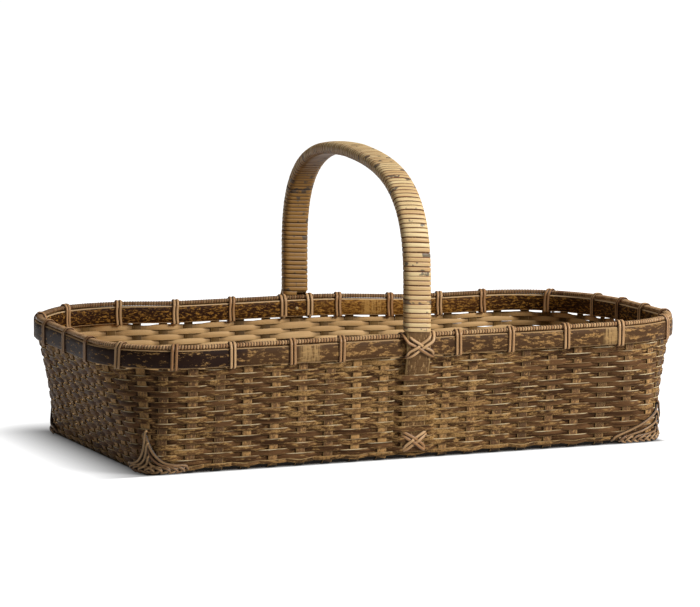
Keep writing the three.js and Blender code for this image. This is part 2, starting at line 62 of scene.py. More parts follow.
# Wall at the middle of the stakes
RIM_LENGTH, RIM_WIDTH, RIM_RADIUS = 442.3, 232.5, 63.5
SLOPE_LENGTHWAYS, SLOPE_CROSSWAYS, FOOT_RADIUS = 20.65, 8.75, 20.0
CROSS_STAKES, LENGTH_STAKES = 21, 12
STAKES = 2 * (CROSS_STAKES + LENGTH_STAKES)
BESIDE_LEG = CROSS_STAKES // 2  # stakes of a long wall on each side of the leg's one
LEG_ROOM, CROSS_PITCH, LENGTH_PITCH = 3.2, 20.65, 16.2
FOOT_CORNER_STAKE, RIM_CORNER_STAKE = 197.5, 206.0
FLOOR_TOP = 1.9
ASIDE, ABOVE = 0.12, 1.5  # steps, in stakes and mm, between which the wall's slope is taken
WEAVE_TOP = height("weft_row_12")[1] + 0.6

# Where the basket is out of true
BACK_LEFT_RISE, BACK_RIGHT_DIP, RIGHT_END_OUT = 1.8, 4.0, 2.2
HANDLE_TURN = 0.0085

# Stakes and floor
STAKE_WIDTH, STAKE_THICKNESS, WIDTH_SPREAD = 6.8, 0.8, 0.06
STAKE_TOP = height("cross_split_01")[1] - 0.3
STAKE_SWAY, SWAY_LENGTH = 0.025, 130
WALL_STEPS, FOLD_STEPS, FLOOR_STEP = 36, 6, 1.6
FLOOR_MIDDLE, FLOOR_WAVE, EDGE_DROP, FOLD_RADIUS = 0.97, 0.45, 0.2, 2.0

# Woven rows
ROWS, CAD_ROWS, MIDDLE_LAP = 18, 12, 0.25
FOOT_LOW, FOOT_HIGH, FOOT_THICKNESS, FOOT_WAVE, FOOT_DIP = 3.6, 6.4, 0.9, 1.2, 1.0
# The dark strand inside the foot, a painted shade for the gap under it
GROUND_LOW, GROUND_HIGH, GROUND_IN = 0.7, 4.2, 1.6
FIRST_ROW = FOOT_HIGH - 0.2
ROW_PITCH = (WEAVE_TOP - FIRST_ROW) / ROWS
STRIP_THICKNESS, STRIP_WAVE, STRIP_BOW, STRIP_LAP, LEG_LAP = 0.6, 0.9, 0.12, 0.42, 0.9
BACK_GAP, GAP_SHARE, LOOSE_ROWS, TOP_FILL = 0.9, 0.3, 4, 1.8
SHADED_CORNER, SHADED_DEPTH = 56.4, 0.3
STATIONS = 8

# Unevenness round the basket, as (waves in a round, size)
ROW_SWAY, ROW_UNEVEN, WAVE_UNEVEN, STRIP_UNEVEN = (5, 0.45), (17, 0.05), (23, 0.12), (9, 0.06)
FOOT_UNEVEN, LOOSE_PLACES, BAND_SWAY, BAND_UNEVEN = (7, 0.1), (31, 1.0), (6, 0.12), (11, 0.15)

# Rim. Bindings, spots and wear lie at distances round it from the middle of the front: a spot is
# (middle, width), and wear is (distance, share of the smoke that is worn off), on the outer band's left
# end also a painted sheen.
BAND_LOW, BAND_HIGH = height("outer_rim_band")
BAND_MIDDLE = (BAND_LOW + BAND_HIGH) / 2
BAND_MIDDLE_OUT, BAND_THICKNESS, BAND_STATIONS = 2.35, 2.9, 420
ROD_LOW, ROD_TOP = height("rim_filler")
ROD_MIDDLE = (ROD_LOW + ROD_TOP) / 2
ROD_WIDTH, ROD_STATIONS, ROD_UNDER_WRAP = 5.4, 300, 1.2
BEAD_PITCH, BEAD_WIDTH, BEAD_THICKNESS, BEAD_STATIONS = 2.1, 1.95, 0.65, 10
CANE_WIDTH, CANE_THICKNESS, CANE_STEP = 2.35, 1.0, 2.75
CROSS_CANE, CROSS_SPACING = 2.5, 3.1
CANE_OUT = BAND_MIDDLE_OUT + BAND_THICKNESS / 2 + CANE_THICKNESS / 2 + 0.1
BINDINGS = (
    32, 73, 117, 160, 207, 244, 279, 317, 360, 412, 464, 501, 542, 585,
    672, 717, 762, 807, 849, 890, 935, 982, 1020, 1060, 1101, 1146, 1183,
)
OUTER_SPOTS = ((-82, 15), (154, 17), (420, 18))
INNER_SPOTS = ((558, 18), (250, 18), (1130, 18))
# painted sheen: the left end's wear, 860 to 1000, is raised to make the band lighter there
OUTER_WEAR_AND_SHEEN = (
    (0, 0.7), (60, 0.55), (154, 0.7), (260, 0.45), (620, 0.4), (760, 0.4), (860, 0.16),
    (1000, 0.12), (1049, 0.14), (1100, 0.16), (1115, 0.55), (1190, 0.75),
)
INNER_WEAR = ((0, 0.3), (450, 0.3), (560, 0.8), (640, 0.35), (800, 0.2), (1000, 0.2))
ROD_WEAR = ((0, 1.0), (330, 1.0), (400, 0.5), (860, 0.5), (960, 0.9))

# Handle
LEG_SIDES = (("front", -1), ("back", 1))
LEGS = (0, STAKES // 2)
CORE_WIDTH, CORE_THICKNESS, RIM_LEG_THICKNESS, LEG_THICKNESS = 18.2, 7.4, 2.8, 2.2
LEG_LOW, KNEE_LOW = 9.5, 48.0
LEG_FACE, RIM_FACE = 0.7, 4.15
LEG_OUTER = RIM_FACE + RIM_LEG_THICKNESS
LEG_SHIFT, LEG_WEAR, LEG_SPOT = -0.8, 0.6, 0.3
ARCH_HALF, ARCH_SPRING = RIM_WIDTH / 2 + LEG_OUTER - CORE_THICKNESS / 2, 122.0
NEAR_SHOULDER, FAR_SHOULDER, CREST_RISE, NEAR_SAG = 2.74, 2.71, 0.5, 2.2
HANDLE_TOP = height("handle_wrap")[1] + CREST_RISE
WRAP_LOW = ROD_TOP + 1.2
WRAP_PITCH, WRAP_WIDTH, WRAP_THICKNESS, WRAP_GAP, WRAP_CROWN = 3.3, 3.15, 0.9, 0.2, 1.1
WRAP_STATIONS = 28
TOP_ROW_OVER_LEG = 14
FOOT_CROSS_OUT, FOOT_CROSS_RISE = 1.4, 3.8

# Corner lashings. A corner is (height, reach along each wall, how hollow its strands run).
CORNER_STRANDS, CORNER_OUT, CORNER_CANE, CORNER_THICKNESS, END_REACH = 3, 2.1, 2.5, 1.3, 0.8
CORNERS = {
    "front_right": (27.0, 35.0, 0.1), "back_right": (27.0, 24.0, 0.5),
    "back_left": (26.0, 24.0, 0.6), "front_left": (28.5, 24.5, 1.0),
}
BRAID_LOW, BRAID_HIGH, BRAID_STEP, BRAID_LEAN, BRAID_CANE = 1.35, 6.2, 5.0, 5.4, 2.2

# Stage, light and camera, in metres and degrees. A light is (name, place, size, power).
FLOOR_COLOUR, FLOOR_SIZE, ROOM_LIGHT = 0.42, 12, 0.13
# The floor's glow is painted light: it grows from GLOW_AT_FOOT to full within GLOW_REACH of the foot,
# LIT_SIDES times faster on the lit sides.
GLOW_AT_FOOT, GLOW_REACH, LIT_SIDES, GLOW_START = 0.05, 0.05, 8.0, 0.006
LIGHTS = (("key", (1.45, -1.5, 1.25), 1.0, 56), ("top", (-0.1, 0.3, 2.0), 1.4, 6.5))
LIT_PLACE = Vector((0, 0, 0.08))
AZIMUTH, ELEVATION, CAMERA_DISTANCE, CAMERA_LENS = -22.51, 7.31, 3.0, 210.0
AIM_RIGHT, AIM_UP, AIM_HEIGHT = -0.0026, 0.0358, 0.0624


def unit(vectors):
    return vectors / np.linalg.norm(vectors, axis=-1, keepdims=True)


def seeded(number):
    return np.random.default_rng(number)


def column(values):
    """Values shaped to multiply vectors."""
    return np.asarray(values, float)[..., None]


def apart(a, b, around):
    """The shorter way between places on a round of a given length."""
    return np.abs((a - b + around / 2) % around - around / 2)


def ease(low, high, x):
    """0 up to low, 1 from high on, and a smooth change between them."""
    t = np.clip((np.asarray(x, float) - low) / (high - low), 0, 1)
    return t * t * (3 - 2 * t)


def drift(x, period, size, seed):
    """A smooth seeded variation along x of about +-size."""
    phases = seeded(seed).uniform(0, 2 * math.pi, 3)
    turn = 2 * math.pi * x / period
    waves = [0.6**i * np.sin(turn * (1 + 0.73 * i) + p) for i, p in enumerate(phases)]
    return size * sum(waves) / 1.5


def ring_drift(k, cycles, size, seed):
    """As drift, but it closes after one round of the stakes."""
    phases = seeded(seed).uniform(0, 2 * math.pi, 4)
    turn = 2 * math.pi * k / STAKES
    waves = [0.7**i * np.sin(turn * (cycles + i * 2) + p) for i, p in enumerate(phases)]
    return size * sum(waves) / 1.6


class Outline:
    """A rounded rectangle, walked from the middle of the front wall towards +X."""

    def __init__(self, length, width, radius):
        self.flat_x, self.flat_y, self.radius = length / 2 - radius, width / 2 - radius, radius
        self.quarter = self.flat_x + self.flat_y + radius * math.pi / 2
        self.round = 4 * self.quarter

    def at(self, distance):
        """Points and outward normals in the plane at distances along the outline."""
        along = np.mod(distance, self.round)
        part = np.minimum(along // self.quarter, 3).astype(int)
        rest = along - part * self.quarter
        rest = np.where(part % 2 == 0, rest, self.quarter - rest)
        sign_x = np.where(part < 2, 1.0, -1.0)
        sign_y = np.where((part == 1) | (part == 2), 1.0, -1.0)
        angle = np.clip((rest - self.flat_x) / self.radius, 0, math.pi / 2)
        beyond = np.maximum(0, rest - self.flat_x - self.radius * math.pi / 2)
        normal = np.stack([sign_x * np.sin(angle), sign_y * np.cos(angle)], -1)
        corner = np.stack([sign_x * np.minimum(rest, self.flat_x), sign_y * (self.flat_y - beyond)], -1)
        return normal * self.radius + corner, normal


RIM = Outline(RIM_LENGTH, RIM_WIDTH, RIM_RADIUS)
FOOT = Outline(RIM_LENGTH - 2 * SLOPE_LENGTHWAYS, RIM_WIDTH - 2 * SLOPE_CROSSWAYS, FOOT_RADIUS)


def stake_distances(line, corner_stake):
    """The distance of each stake along an outline, with the round's length at the end."""
    side = LEG_ROOM + CROSS_PITCH * (np.arange(BESIDE_LEG) + 1)
    side[-1] = corner_stake
    long_wall = np.concatenate([-side[::-1], [0], side])
    short_wall = (np.arange(LENGTH_STAKES) - (LENGTH_STAKES - 1) / 2) * LENGTH_PITCH
    walls = [n * line.quarter + (short_wall if n % 2 else long_wall) for n in range(4)]
    return np.append(np.sort(np.concatenate(walls) % line.round), line.round)


FOOT_DISTANCES = stake_distances(FOOT, FOOT_CORNER_STAKE)
RIM_DISTANCES = stake_distances(RIM, RIM_CORNER_STAKE)


def outline_distance(k, distances):
    """The distance along an outline of a place counted in stakes."""
    rounds = np.floor_divide(k, STAKES)
    return np.interp(k - rounds * STAKES, np.arange(STAKES + 1), distances) + rounds * distances[-1]


def share_up(z):
    """0 at the floor, 1 at the top of the weave."""
    return np.clip((z - FLOOR_TOP) / (WEAVE_TOP - FLOOR_TOP), 0, 1)


def between(k, z):
    """Points of the wall's middle at places k, counted in stakes, and heights z."""
    k, z = np.broadcast_arrays(k, z)
    up = column(share_up(z))
    foot, _ = FOOT.at(outline_distance(k, FOOT_DISTANCES))
    rim, _ = RIM.at(outline_distance(k, RIM_DISTANCES))
    return np.concatenate([foot + (rim - foot) * up, z[..., None]], -1)


def wall(k, z, out=0.0):
    """Points standing out from the wall's middle, and the wall's outward normals there."""
    along = between(k + ASIDE, z) - between(k - ASIDE, z)
    rising = between(k, z + ABOVE) - between(k, z - ABOVE)
    normal = unit(np.cross(along, rising))
    return between(k, z) + normal * column(out), normal


def rim_place(distance, out, z):
    """Points at a distance along the rim, off its middle line, and the outward normals."""
    point, normal = (np.concatenate([v, np.zeros_like(v[..., :1])], -1) for v in RIM.at(distance))
    return point + normal * column(out) + column(z) * (0, 0, 1), normal


def settled(points):
    """Points moved to where the real basket is out of true. The plain numbers are places in mm."""
    x, y, z = points[..., 0], points[..., 1], points[..., 2]
    back = ease(-60, 100, y)
    left = BACK_LEFT_RISE * ease(-90, -150, x) * (1 - 0.6 * ease(-185, -215, x)) * back
    deeper = 0.25 * ease(-110, -60, y) + 0.75 * ease(0, 90, y)
    right = BACK_RIGHT_DIP * ease(10, 110, x) * deeper
    rise = (left - right) * ease(20, BAND_HIGH, z)
    shift = RIGHT_END_OUT * ease(150, 221, x) * ease(30, BAND_HIGH, z)
    return points + np.stack([shift, np.zeros_like(x), rise], -1)


# Profiles of strips across (first) and outward (second), as shares of width and thickness. With kinds,
# the face after each corner gets its own material: 0 the skin, 1 the inner side, 2 a cut edge.
STRIP = np.array([(-0.46, -0.5), (0.46, -0.5), (0.5, -0.25), (0.5, 0.2), (0.45, 0.42), (0.2, 0.5),
                  (-0.2, 0.5), (-0.45, 0.42), (-0.5, 0.2), (-0.5, -0.25)])
SPLIT = STRIP, (1, 2, 2, 2, 0, 0, 0, 2, 2, 2)
CANE = np.array([(-0.44, -0.5), (0.44, -0.5), (0.5, -0.15), (0.34, 0.3), (0.12, 0.48), (-0.12, 0.48),
                 (-0.34, 0.3), (-0.5, -0.15)])
FLAT_CANE = np.array([(-0.46, -0.5), (0.46, -0.5), (0.5, 0.05), (0.43, 0.36), (0.2, 0.5),
                      (-0.2, 0.5), (-0.43, 0.36), (-0.5, 0.05)])


def lengths(points):
    """How far along a closed line each point lies, and the whole length."""
    steps = np.linalg.norm(np.diff(points, axis=0, append=points[:1]), axis=1)
    return np.concatenate([[0], np.cumsum(steps)])


def placed(name, data):
    """A new object in the scene."""
    thing = bpy.data.objects.new(name, data)
    bpy.context.scene.collection.objects.link(thing)
    return thing


class Piece:
    """Gathers swept strands into one mesh.

    Each corner keeps its place (along and across its strand, and the strand's seed) and its form: the
    side of the strand (-1 to 1), the crown (1 where the strand stands out, 0 where it dives) and the
    spot (1 where the skin has a pale joint).
    """

    def __init__(self, name, materials, replaced, slot):
        self.name, self.materials, self.replaced, self.slot = name, materials, replaced, slot
        self.points, self.loops, self.sizes, self.kinds, self.places, self.forms = [], [], [], [], [], []
        self.count = 0

    def strand(self, points, outward, width, thickness, profile=CANE, kinds=None, ring=False,
               seed=None, crown=1.0, spot=0.0):
        """Sweeps a profile along points, with its outer side towards outward."""
        n, m = len(points), len(profile)
        kinds = kinds or (0,) * m
        width, thickness, crown, spot = (
            np.broadcast_to(np.asarray(v, float), n) for v in (width, thickness, crown, spot))
        ahead = np.roll(points, -1, 0) - np.roll(points, 1, 0)
        if not ring:
            ahead[0], ahead[-1] = points[1] - points[0], points[-1] - points[-2]
        tangent = unit(ahead)
        across = unit(np.cross(tangent, outward))
        out = np.cross(across, tangent)
        a, b = profile[None, :, :1], profile[None, :, 1:]
        width, thickness = width[:, None, None], thickness[:, None, None]
        corners = points[:, None] + a * width * across[:, None] + b * thickness * out[:, None]

        along, girth = lengths(points), lengths(corners[n // 2])
        side = np.append(profile[:, 0], profile[0, 0]) * 2
        seeds = np.broadcast_to(RNG.uniform(0, 1000) if seed is None else seed, n)

        i, j = np.meshgrid(np.arange(n if ring else n - 1), np.arange(m), indexing="ij")
        i, j = i.ravel(), j.ravel()
        ni, nj = (i + 1) % n, (j + 1) % m
        quads = np.stack([i * m + j, ni * m + j, ni * m + nj, i * m + nj], 1) + self.count
        around = ((i, i, j), (ni, i + 1, j), (ni, i + 1, j + 1), (i, i, j + 1))
        place = [np.stack([along[x], girth[y], seeds[i]], 1) for _, x, y in around]
        form = [np.stack([side[y], crown[x], spot[x]], 1) for x, _, y in around]
        self.add_faces(quads, 4, np.asarray(kinds)[j], np.stack(place, 1), np.stack(form, 1))
        if not ring:
            for station, order in ((0, np.arange(m)), (n - 1, np.arange(m)[::-1])):
                place = np.stack([np.full(m, along[station]), girth[order], np.full(m, seeds[station])], 1)
                form = np.tile((0.0, crown[station], spot[station]), (m, 1))
                self.add_faces(order + station * m + self.count, m, np.array([max(kinds)]), place, form)
        self.points.append(settled(corners.reshape(-1, 3)))
        self.count += n * m
        return self

    def add_faces(self, loops, corners, kinds, place, form):
        self.loops.append(loops.ravel())
        self.sizes.append(np.full(loops.size // corners, corners))
        self.kinds.append(kinds)
        self.places.append(place.reshape(-1, 3))
        self.forms.append(form.reshape(-1, 3))

    def made(self):
        """Makes the object, riding on the basket's body."""
        points, loops, sizes = (np.concatenate(v) for v in (self.points, self.loops, self.sizes))
        mesh = bpy.data.meshes.new(self.name)
        mesh.vertices.add(len(points))
        mesh.vertices.foreach_set("co", (points * MM).ravel())
        mesh.loops.add(len(loops))
        mesh.loops.foreach_set("vertex_index", loops)
        mesh.polygons.add(len(sizes))
        mesh.polygons.foreach_set("loop_start", np.concatenate([[0], np.cumsum(sizes)[:-1]]))
        mesh.polygons.foreach_set("material_index", np.concatenate(self.kinds))
        mesh.update(calc_edges=True)
        for name, values in (("place", self.places), ("form", self.forms)):
            attribute = mesh.attributes.new(name, "FLOAT_VECTOR", "CORNER")
            attribute.data.foreach_set("vector", np.concatenate(values).ravel())
        mesh.shade_smooth()
        mesh.set_sharp_from_angle(angle=math.radians(50))
        for material in self.materials:
            mesh.materials.append(material)
        thing = placed(self.name, mesh)
        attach(thing, "root")
        if self.replaced:
            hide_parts(*self.replaced)


def spline(points, per):
    """A Catmull-Rom curve through points, with so many steps from one to the next."""
    points = np.asarray(points, float)
    padded = np.concatenate([2 * points[:1] - points[1:2], points, 2 * points[-1:] - points[-2:-1]])
    t = np.linspace(0, 1, per, endpoint=False)[:, None]
    parts = []
    for p0, p1, p2, p3 in zip(padded, padded[1:], padded[2:], padded[3:]):
        bend = 2 * p0 - 5 * p1 + 4 * p2 - p3
        parts.append(0.5 * (2 * p1 + (p2 - p0) * t + bend * t**2 + (3 * (p1 - p2) + p3 - p0) * t**3))
    return np.concatenate([*parts, points[-1:]])


# Materials

HIDDEN_SEAM, PATCH_SHARE = "2a1206", 0.39


def srgb(text):
    """A linear colour from a hex sRGB one."""
    values = [int(text[i:i + 2], 16) / 255 for i in (0, 2, 4)]
    return [v / 12.92 if v <= 0.04045 else ((v + 0.055) / 1.055) ** 2.4 for v in values] + [1.0]


class Nodes:
    """Short calls that add nodes to a tree. A value is a node's output, a number or a hex colour."""

    def __init__(self, tree):
        self.tree = tree

    def put(self, socket, value):
        if isinstance(value, bpy.types.NodeSocket):
            self.tree.links.new(value, socket)
        else:
            socket.default_value = srgb(value) if isinstance(value, str) else value

    def node(self, kind, out, inputs=(), **settings):
        made = self.tree.nodes.new(kind)
        for key, value in settings.items():
            setattr(made, key, value)
        for key, value in dict(inputs).items():
            self.put(made.inputs[key], value)
        return made.outputs[out]

    def math(self, operation, a, b=0.0, c=0.0):
        return self.node("ShaderNodeMath", 0, {0: a, 1: b, 2: c}, operation=operation)

    def times(self, a, b):
        return self.math("MULTIPLY", a, b)

    def plus(self, a, b):
        return self.math("ADD", a, b)

    def scaled(self, value, by, added):
        return self.math("MULTIPLY_ADD", value, by, added)


class Shading(Nodes):
    """One material. Its strand's place and form come from the mesh."""

    def __init__(self, name, roughness, specular):
        self.material = bpy.data.materials.new(name)
        self.material.use_nodes = True
        super().__init__(self.material.node_tree)
        self.sockets = self.tree.nodes["Principled BSDF"].inputs
        self.put(self.sockets["Roughness"], roughness)
        self.put(self.sockets["Specular IOR Level"], specular)
        self.along, self.across, self.seed = self.parts(self.attribute("place"))
        self.side, self.crown, self.spot = self.parts(self.attribute("form"))

    def attribute(self, name):
        return self.node("ShaderNodeAttribute", "Vector", attribute_name=name)

    def parts(self, vector):
        split = self.tree.nodes.new("ShaderNodeSeparateXYZ")
        self.put(split.inputs[0], vector)
        return split.outputs

    def mix(self, share, a, b):
        return self.node("ShaderNodeMix", 2, {0: share, 6: a, 7: b}, data_type="RGBA")

    def ramp(self, value, low, high):
        """0 up to low and 1 from high on."""
        inputs = {0: value, 1: low, 2: high}
        return self.node("ShaderNodeMapRange", 0, inputs, interpolation_type="SMOOTHSTEP")

    def over(self, base, colour, value, low, high, share=1.0):
        """Lays a share of a colour over the base, none of it where the value is low."""
        return self.mix(self.times(self.ramp(value, low, high), share), base, colour)

    def noise(self, along, across, detail, roughness, offset=0.0):
        """Noise in marks per mm along and across the strand. The offset tells two noises apart."""
        x, y = self.times(self.along, along), self.times(self.across, across)
        vector = self.node("ShaderNodeCombineXYZ", 0, {0: x, 1: y, 2: self.scaled(self.seed, 3.7, offset)})
        inputs = {"Vector": vector, "Scale": 1.0, "Detail": detail, "Roughness": roughness}
        return self.node("ShaderNodeTexNoise", "Fac", inputs)

    def patches(self, scale, offset):
        """Noise in the basket's own space, in marks per metre."""
        where = self.node("ShaderNodeTexCoord", "Object")
        vector = self.node("ShaderNodeVectorMath", 0, {0: where, 1: (offset,) * 3}, operation="ADD")
        return self.node("ShaderNodeTexNoise", "Fac", {"Vector": vector, "Scale": scale, "Detail": 2.0})

    def tone(self):
        """A number from 0 to 1 that is the strand's own."""
        return self.node("ShaderNodeTexWhiteNoise", "Value", {"W": self.seed}, noise_dimensions="1D")

    def finish(self, colour, bumps, roughness=None):
        """Links the colour, the roughness, and the bumps as (height, millimetres) pairs."""
        self.put(self.sockets["Base Color"], colour)
        if roughness is not None:
            self.put(self.sockets["Roughness"], roughness)
        normal = {}
        for value, depth in bumps:
            inputs = {"Height": value, "Strength": 1.0, "Distance": depth * MM, **normal}
            normal = {"Normal": self.node("ShaderNodeBump", 0, inputs)}
        self.put(self.sockets["Normal"], normal["Normal"])
        return self.material


# In the kinds of material below, plain numbers are a noise's scales and detail, or the values between
# which a colour comes in and its share.

def weave_skin(name, dark, middle, tan, mottle, painted_shade, line):
    """Smoked bamboo skin: mottled along the strip, painted shade where it dives, and a painted highlight,
    partly wear, on its top edge.
    """
    s = Shading(name, 0.6, 0.1)
    colour = s.over(dark, middle, s.noise(0.03, 0.3, 3.0, 0.6), 0.36, 0.64)
    own = s.scaled(s.tone(), 0.16, -0.08)
    area = s.scaled(s.patches(14.0, 3.0), 0.42, -0.21)
    marks = s.plus(s.plus(s.noise(0.15, 0.55, 5.0, 0.66, 11.0), area), own)
    mask = s.ramp(marks, 0.98 - mottle, 1.1 - mottle)
    broken = s.ramp(s.noise(0.9, 0.8, 3.0, 0.6, 23.0), 0.36, 0.58)
    colour = s.mix(s.times(mask, s.scaled(broken, 0.65, 0.35)), colour, tan)
    fibres = s.noise(0.05, 3.2, 3.0, 0.6, 5.0)
    colour = s.over(colour, dark, fibres, 0.5, 0.72, 0.4)
    # painted highlight, partly wear: a pale line along the top edge where the strip stands out
    lit_worn_top_edge = s.times(s.ramp(s.times(s.side, -1.0), 0.62, 0.8), s.ramp(s.crown, 0.35, 0.75))
    colour = s.over(colour, line, s.noise(0.06, 0.05, 2.0, 0.5, 41.0), 0.38, 0.6, s.times(lit_worn_top_edge, 0.8))
    # painted shade: darker where the strip dives behind a stake
    colour = s.over(colour, painted_shade, s.crown, 0.17, -0.05, 0.75)
    return s.finish(colour, [(fibres, 0.05), (mask, 0.03)], s.scaled(fibres, 0.2, 0.48))


def stake_skin(name, dark, middle, light, mottle, painted_floor_shade):
    """The skin of a stake: grey-brown to tan by stake, with fine fibres along it, and painted shade low
    down near the floor.
    """
    s = Shading(name, 0.6, 0.18)
    level = s.scaled(s.tone(), 0.75, s.times(s.noise(0.035, 0.12, 3.0, 0.6), 0.55))
    colour = s.over(dark, middle, level, 0.15, 0.7)
    colour = s.over(colour, light, level, 0.72, 1.15)
    fibres = s.noise(0.02, 1.5, 3.0, 0.6, 5.0)
    colour = s.over(colour, dark, fibres, 0.52, 0.7, 0.5)
    colour = s.over(colour, light, fibres, 0.45, 0.3, 0.35)
    marks = s.scaled(s.tone(), 0.22, s.noise(0.3, 0.5, 5.0, 0.7, 13.0))
    colour = s.over(colour, mottle, marks, 0.6, 0.71, 0.8)
    # painted shade: the stake darkens low down, where it turns under onto the floor
    colour = s.over(colour, painted_floor_shade, s.crown, 0.9, 0.1)
    return s.finish(colour, [(fibres, 0.06)], s.scaled(fibres, 0.2, 0.48))


def band_skin(name, dark, middle, gold, joint, mottle, specular, grain=1.0):
    """The skin of the rim's bands: dark, speckled with gold where it is worn, with streaked joints."""
    s = Shading(name, 0.5, specular)
    slow = s.scaled(s.noise(0.02, 0.12, 3.0, 0.6), 0.8, -0.4)
    colour = s.over(dark, middle, s.plus(slow, s.crown), 0.1, 1.0)
    marks = s.scaled(s.crown, 0.09, s.noise(0.12 * grain, 0.34 * grain, 6.0, 0.72, 11.0))
    mask = s.ramp(marks, 1.03 - mottle, 1.1 - mottle)
    fine = s.ramp(s.noise(0.5, 0.6, 4.0, 0.7, 23.0), 0.4, 0.56)
    colour = s.mix(s.times(mask, s.scaled(fine, 0.75, 0.25)), colour, gold)
    streaks = s.scaled(marks, 0.3, s.noise(0.9, 0.06, 4.0, 0.65, 37.0))
    colour = s.over(colour, joint, streaks, 0.52, 0.74, s.times(s.spot, 0.85))
    fibres = s.noise(0.03, 2.5, 3.0, 0.6, 5.0)
    colour = s.over(colour, dark, fibres, 0.5, 0.75, 0.35)
    return s.finish(colour, [(fibres, 0.05), (mask, 0.04)], s.scaled(fibres, 0.25, 0.48))


def raw_bamboo(name, light, dark, painted_shade=None):
    """Split bamboo's inner side or cut edge, with long fibres, with painted shade where it lies against a
    stake.
    """
    s = Shading(name, 0.62, 0.25)
    fibres = s.noise(0.025, 2.4, 4.0, 0.6)
    slow = s.noise(0.03, 0.15, 2.0, 0.5, 7.0)
    colour = s.over(light, dark, s.scaled(s.tone(), 0.5, s.times(slow, 0.6)), 0.2, 0.9)
    colour = s.over(colour, dark, fibres, 0.42, 0.7, 0.45)
    if painted_shade:
        # painted shade: the inner side darkens where the strip runs behind a stake
        colour = s.over(colour, painted_shade, s.crown, 0.5, 0.95, 0.65)
    return s.finish(colour, [(fibres, 0.08)])


def cane(name, light, dark, seam_dirt_and_shade, seam_start, hidden=None, patch=None):
    """Split cane: streaked along its length, dirt and painted shade along the edges of each strand, browner
    where hands don't rub it.
    """
    s = Shading(name, 0.45, 0.35)
    streaks = s.noise(0.05, 2.0, 3.0, 0.6)
    slow = s.noise(0.04, 0.3, 2.0, 0.5, 9.0)
    colour = s.over(light, dark, s.scaled(s.tone(), 0.5, s.times(slow, 0.6)), 0.2, 0.95)
    colour = s.over(colour, dark, streaks, 0.45, 0.7, 0.4)
    if hidden:
        colour = s.over(colour, hidden, s.crown, 0.8, 0.2)
        # on the hidden side the seams turn darker still, dirt and painted shade
        seam_dirt_and_shade = s.over(seam_dirt_and_shade, HIDDEN_SEAM, s.crown, 0.8, 0.2)
    if patch:
        stain = s.noise(0.08, 0.1, 3.0, 0.6, 31.0)
        colour = s.over(colour, patch, stain, 1 - PATCH_SHARE, 1.04 - PATCH_SHARE, 0.85)
    # dirt and painted shade along each strand's edges, where strands meet
    colour = s.over(colour, seam_dirt_and_shade, s.math("ABSOLUTE", s.side), seam_start, 0.95, 0.9)
    return s.finish(colour, [(streaks, 0.05)], s.scaled(streaks, 0.25, 0.33))


# A weave skin's last two colours are its painted shade where it dives and its top edge's painted highlight,
# partly wear; a stake skin's last is its painted shade near the floor.
STRIP_SKIN = weave_skin("strip_skin", "3f2713", "755233", "c1965c", 0.47, "220d03", "f6e3b8")
FOOT_SKIN = weave_skin("foot_skin", "44301b", "7c5a38", "b58a54", 0.55, "1a0f06", "d0ae7a")
STAKE_SKIN = stake_skin("stake_skin", "4b3521", "7a583a", "bd945f", "d0a064", "120a04")
BAND_SKIN = band_skin("band_skin", "230f04", "664729", "bc8f56", "c39c66", 0.465, 0.14)
INNER_BAND_SKIN = band_skin("inner_band_skin", "2a1000", "6c3f08", "b07c34", "b98a48", 0.5, 0.12, 2.3)
LEG_SKIN = band_skin("leg_skin", "3b2710", "745330", "c49c68", "9c764a", 0.44, 0.2, 1.6)
STRIP_INSIDE = raw_bamboo("strip_inside", "eac28a", "bd925a", "644216")
STAKE_INSIDE = raw_bamboo("stake_inside", "7e5c28", "523a16")
BAND_INSIDE = raw_bamboo("band_inside", "8c6b3c", "5e4526")
BAND_EDGE = raw_bamboo("band_edge", "dcb98a", "a07c50")
CUT_EDGE = raw_bamboo("cut_edge", "b3925f", "7d5f39")
PALE_WOOD = raw_bamboo("pale_wood", "c9ac78", "9c7b4c")
BINDING_CANE = cane("binding_cane", "e0b683", "a67648", "3a180a", 0.55)
ROD_CANE = cane("rod_cane", "e2b985", "a3744a", "3a170a", 0.5, "553315")
HANDLE_CANE = cane("handle_cane", "f8dea6", "cfa268", "7c3a1c", 0.7, "a67b42", "554c42")
# the plait's near-black, wide seams are mostly painted shade between its strands
PLAIT_CANE = cane("plait_cane", "d0a673", "6e4627", "0e0502", 0.2)
STRIP_MATERIALS = (STRIP_SKIN, STRIP_INSIDE, CUT_EDGE)
FOOT_MATERIALS = (FOOT_SKIN, STRIP_INSIDE, CUT_EDGE)
STAKE_MATERIALS = (STAKE_SKIN, STAKE_INSIDE, CUT_EDGE)


# Floor and stakes

def crossings(cross):
    """Where the splits of one direction cross the others on the floor, in mm from the middle."""
    if cross:
        return FOOT.at(FOOT_DISTANCES[BESIDE_LEG + 1:BESIDE_LEG + 1 + LENGTH_STAKES])[0][:, 1]
    return FOOT.at(FOOT_DISTANCES[np.arange(-BESIDE_LEG, BESIDE_LEG + 1) % STAKES])[0][:, 0]


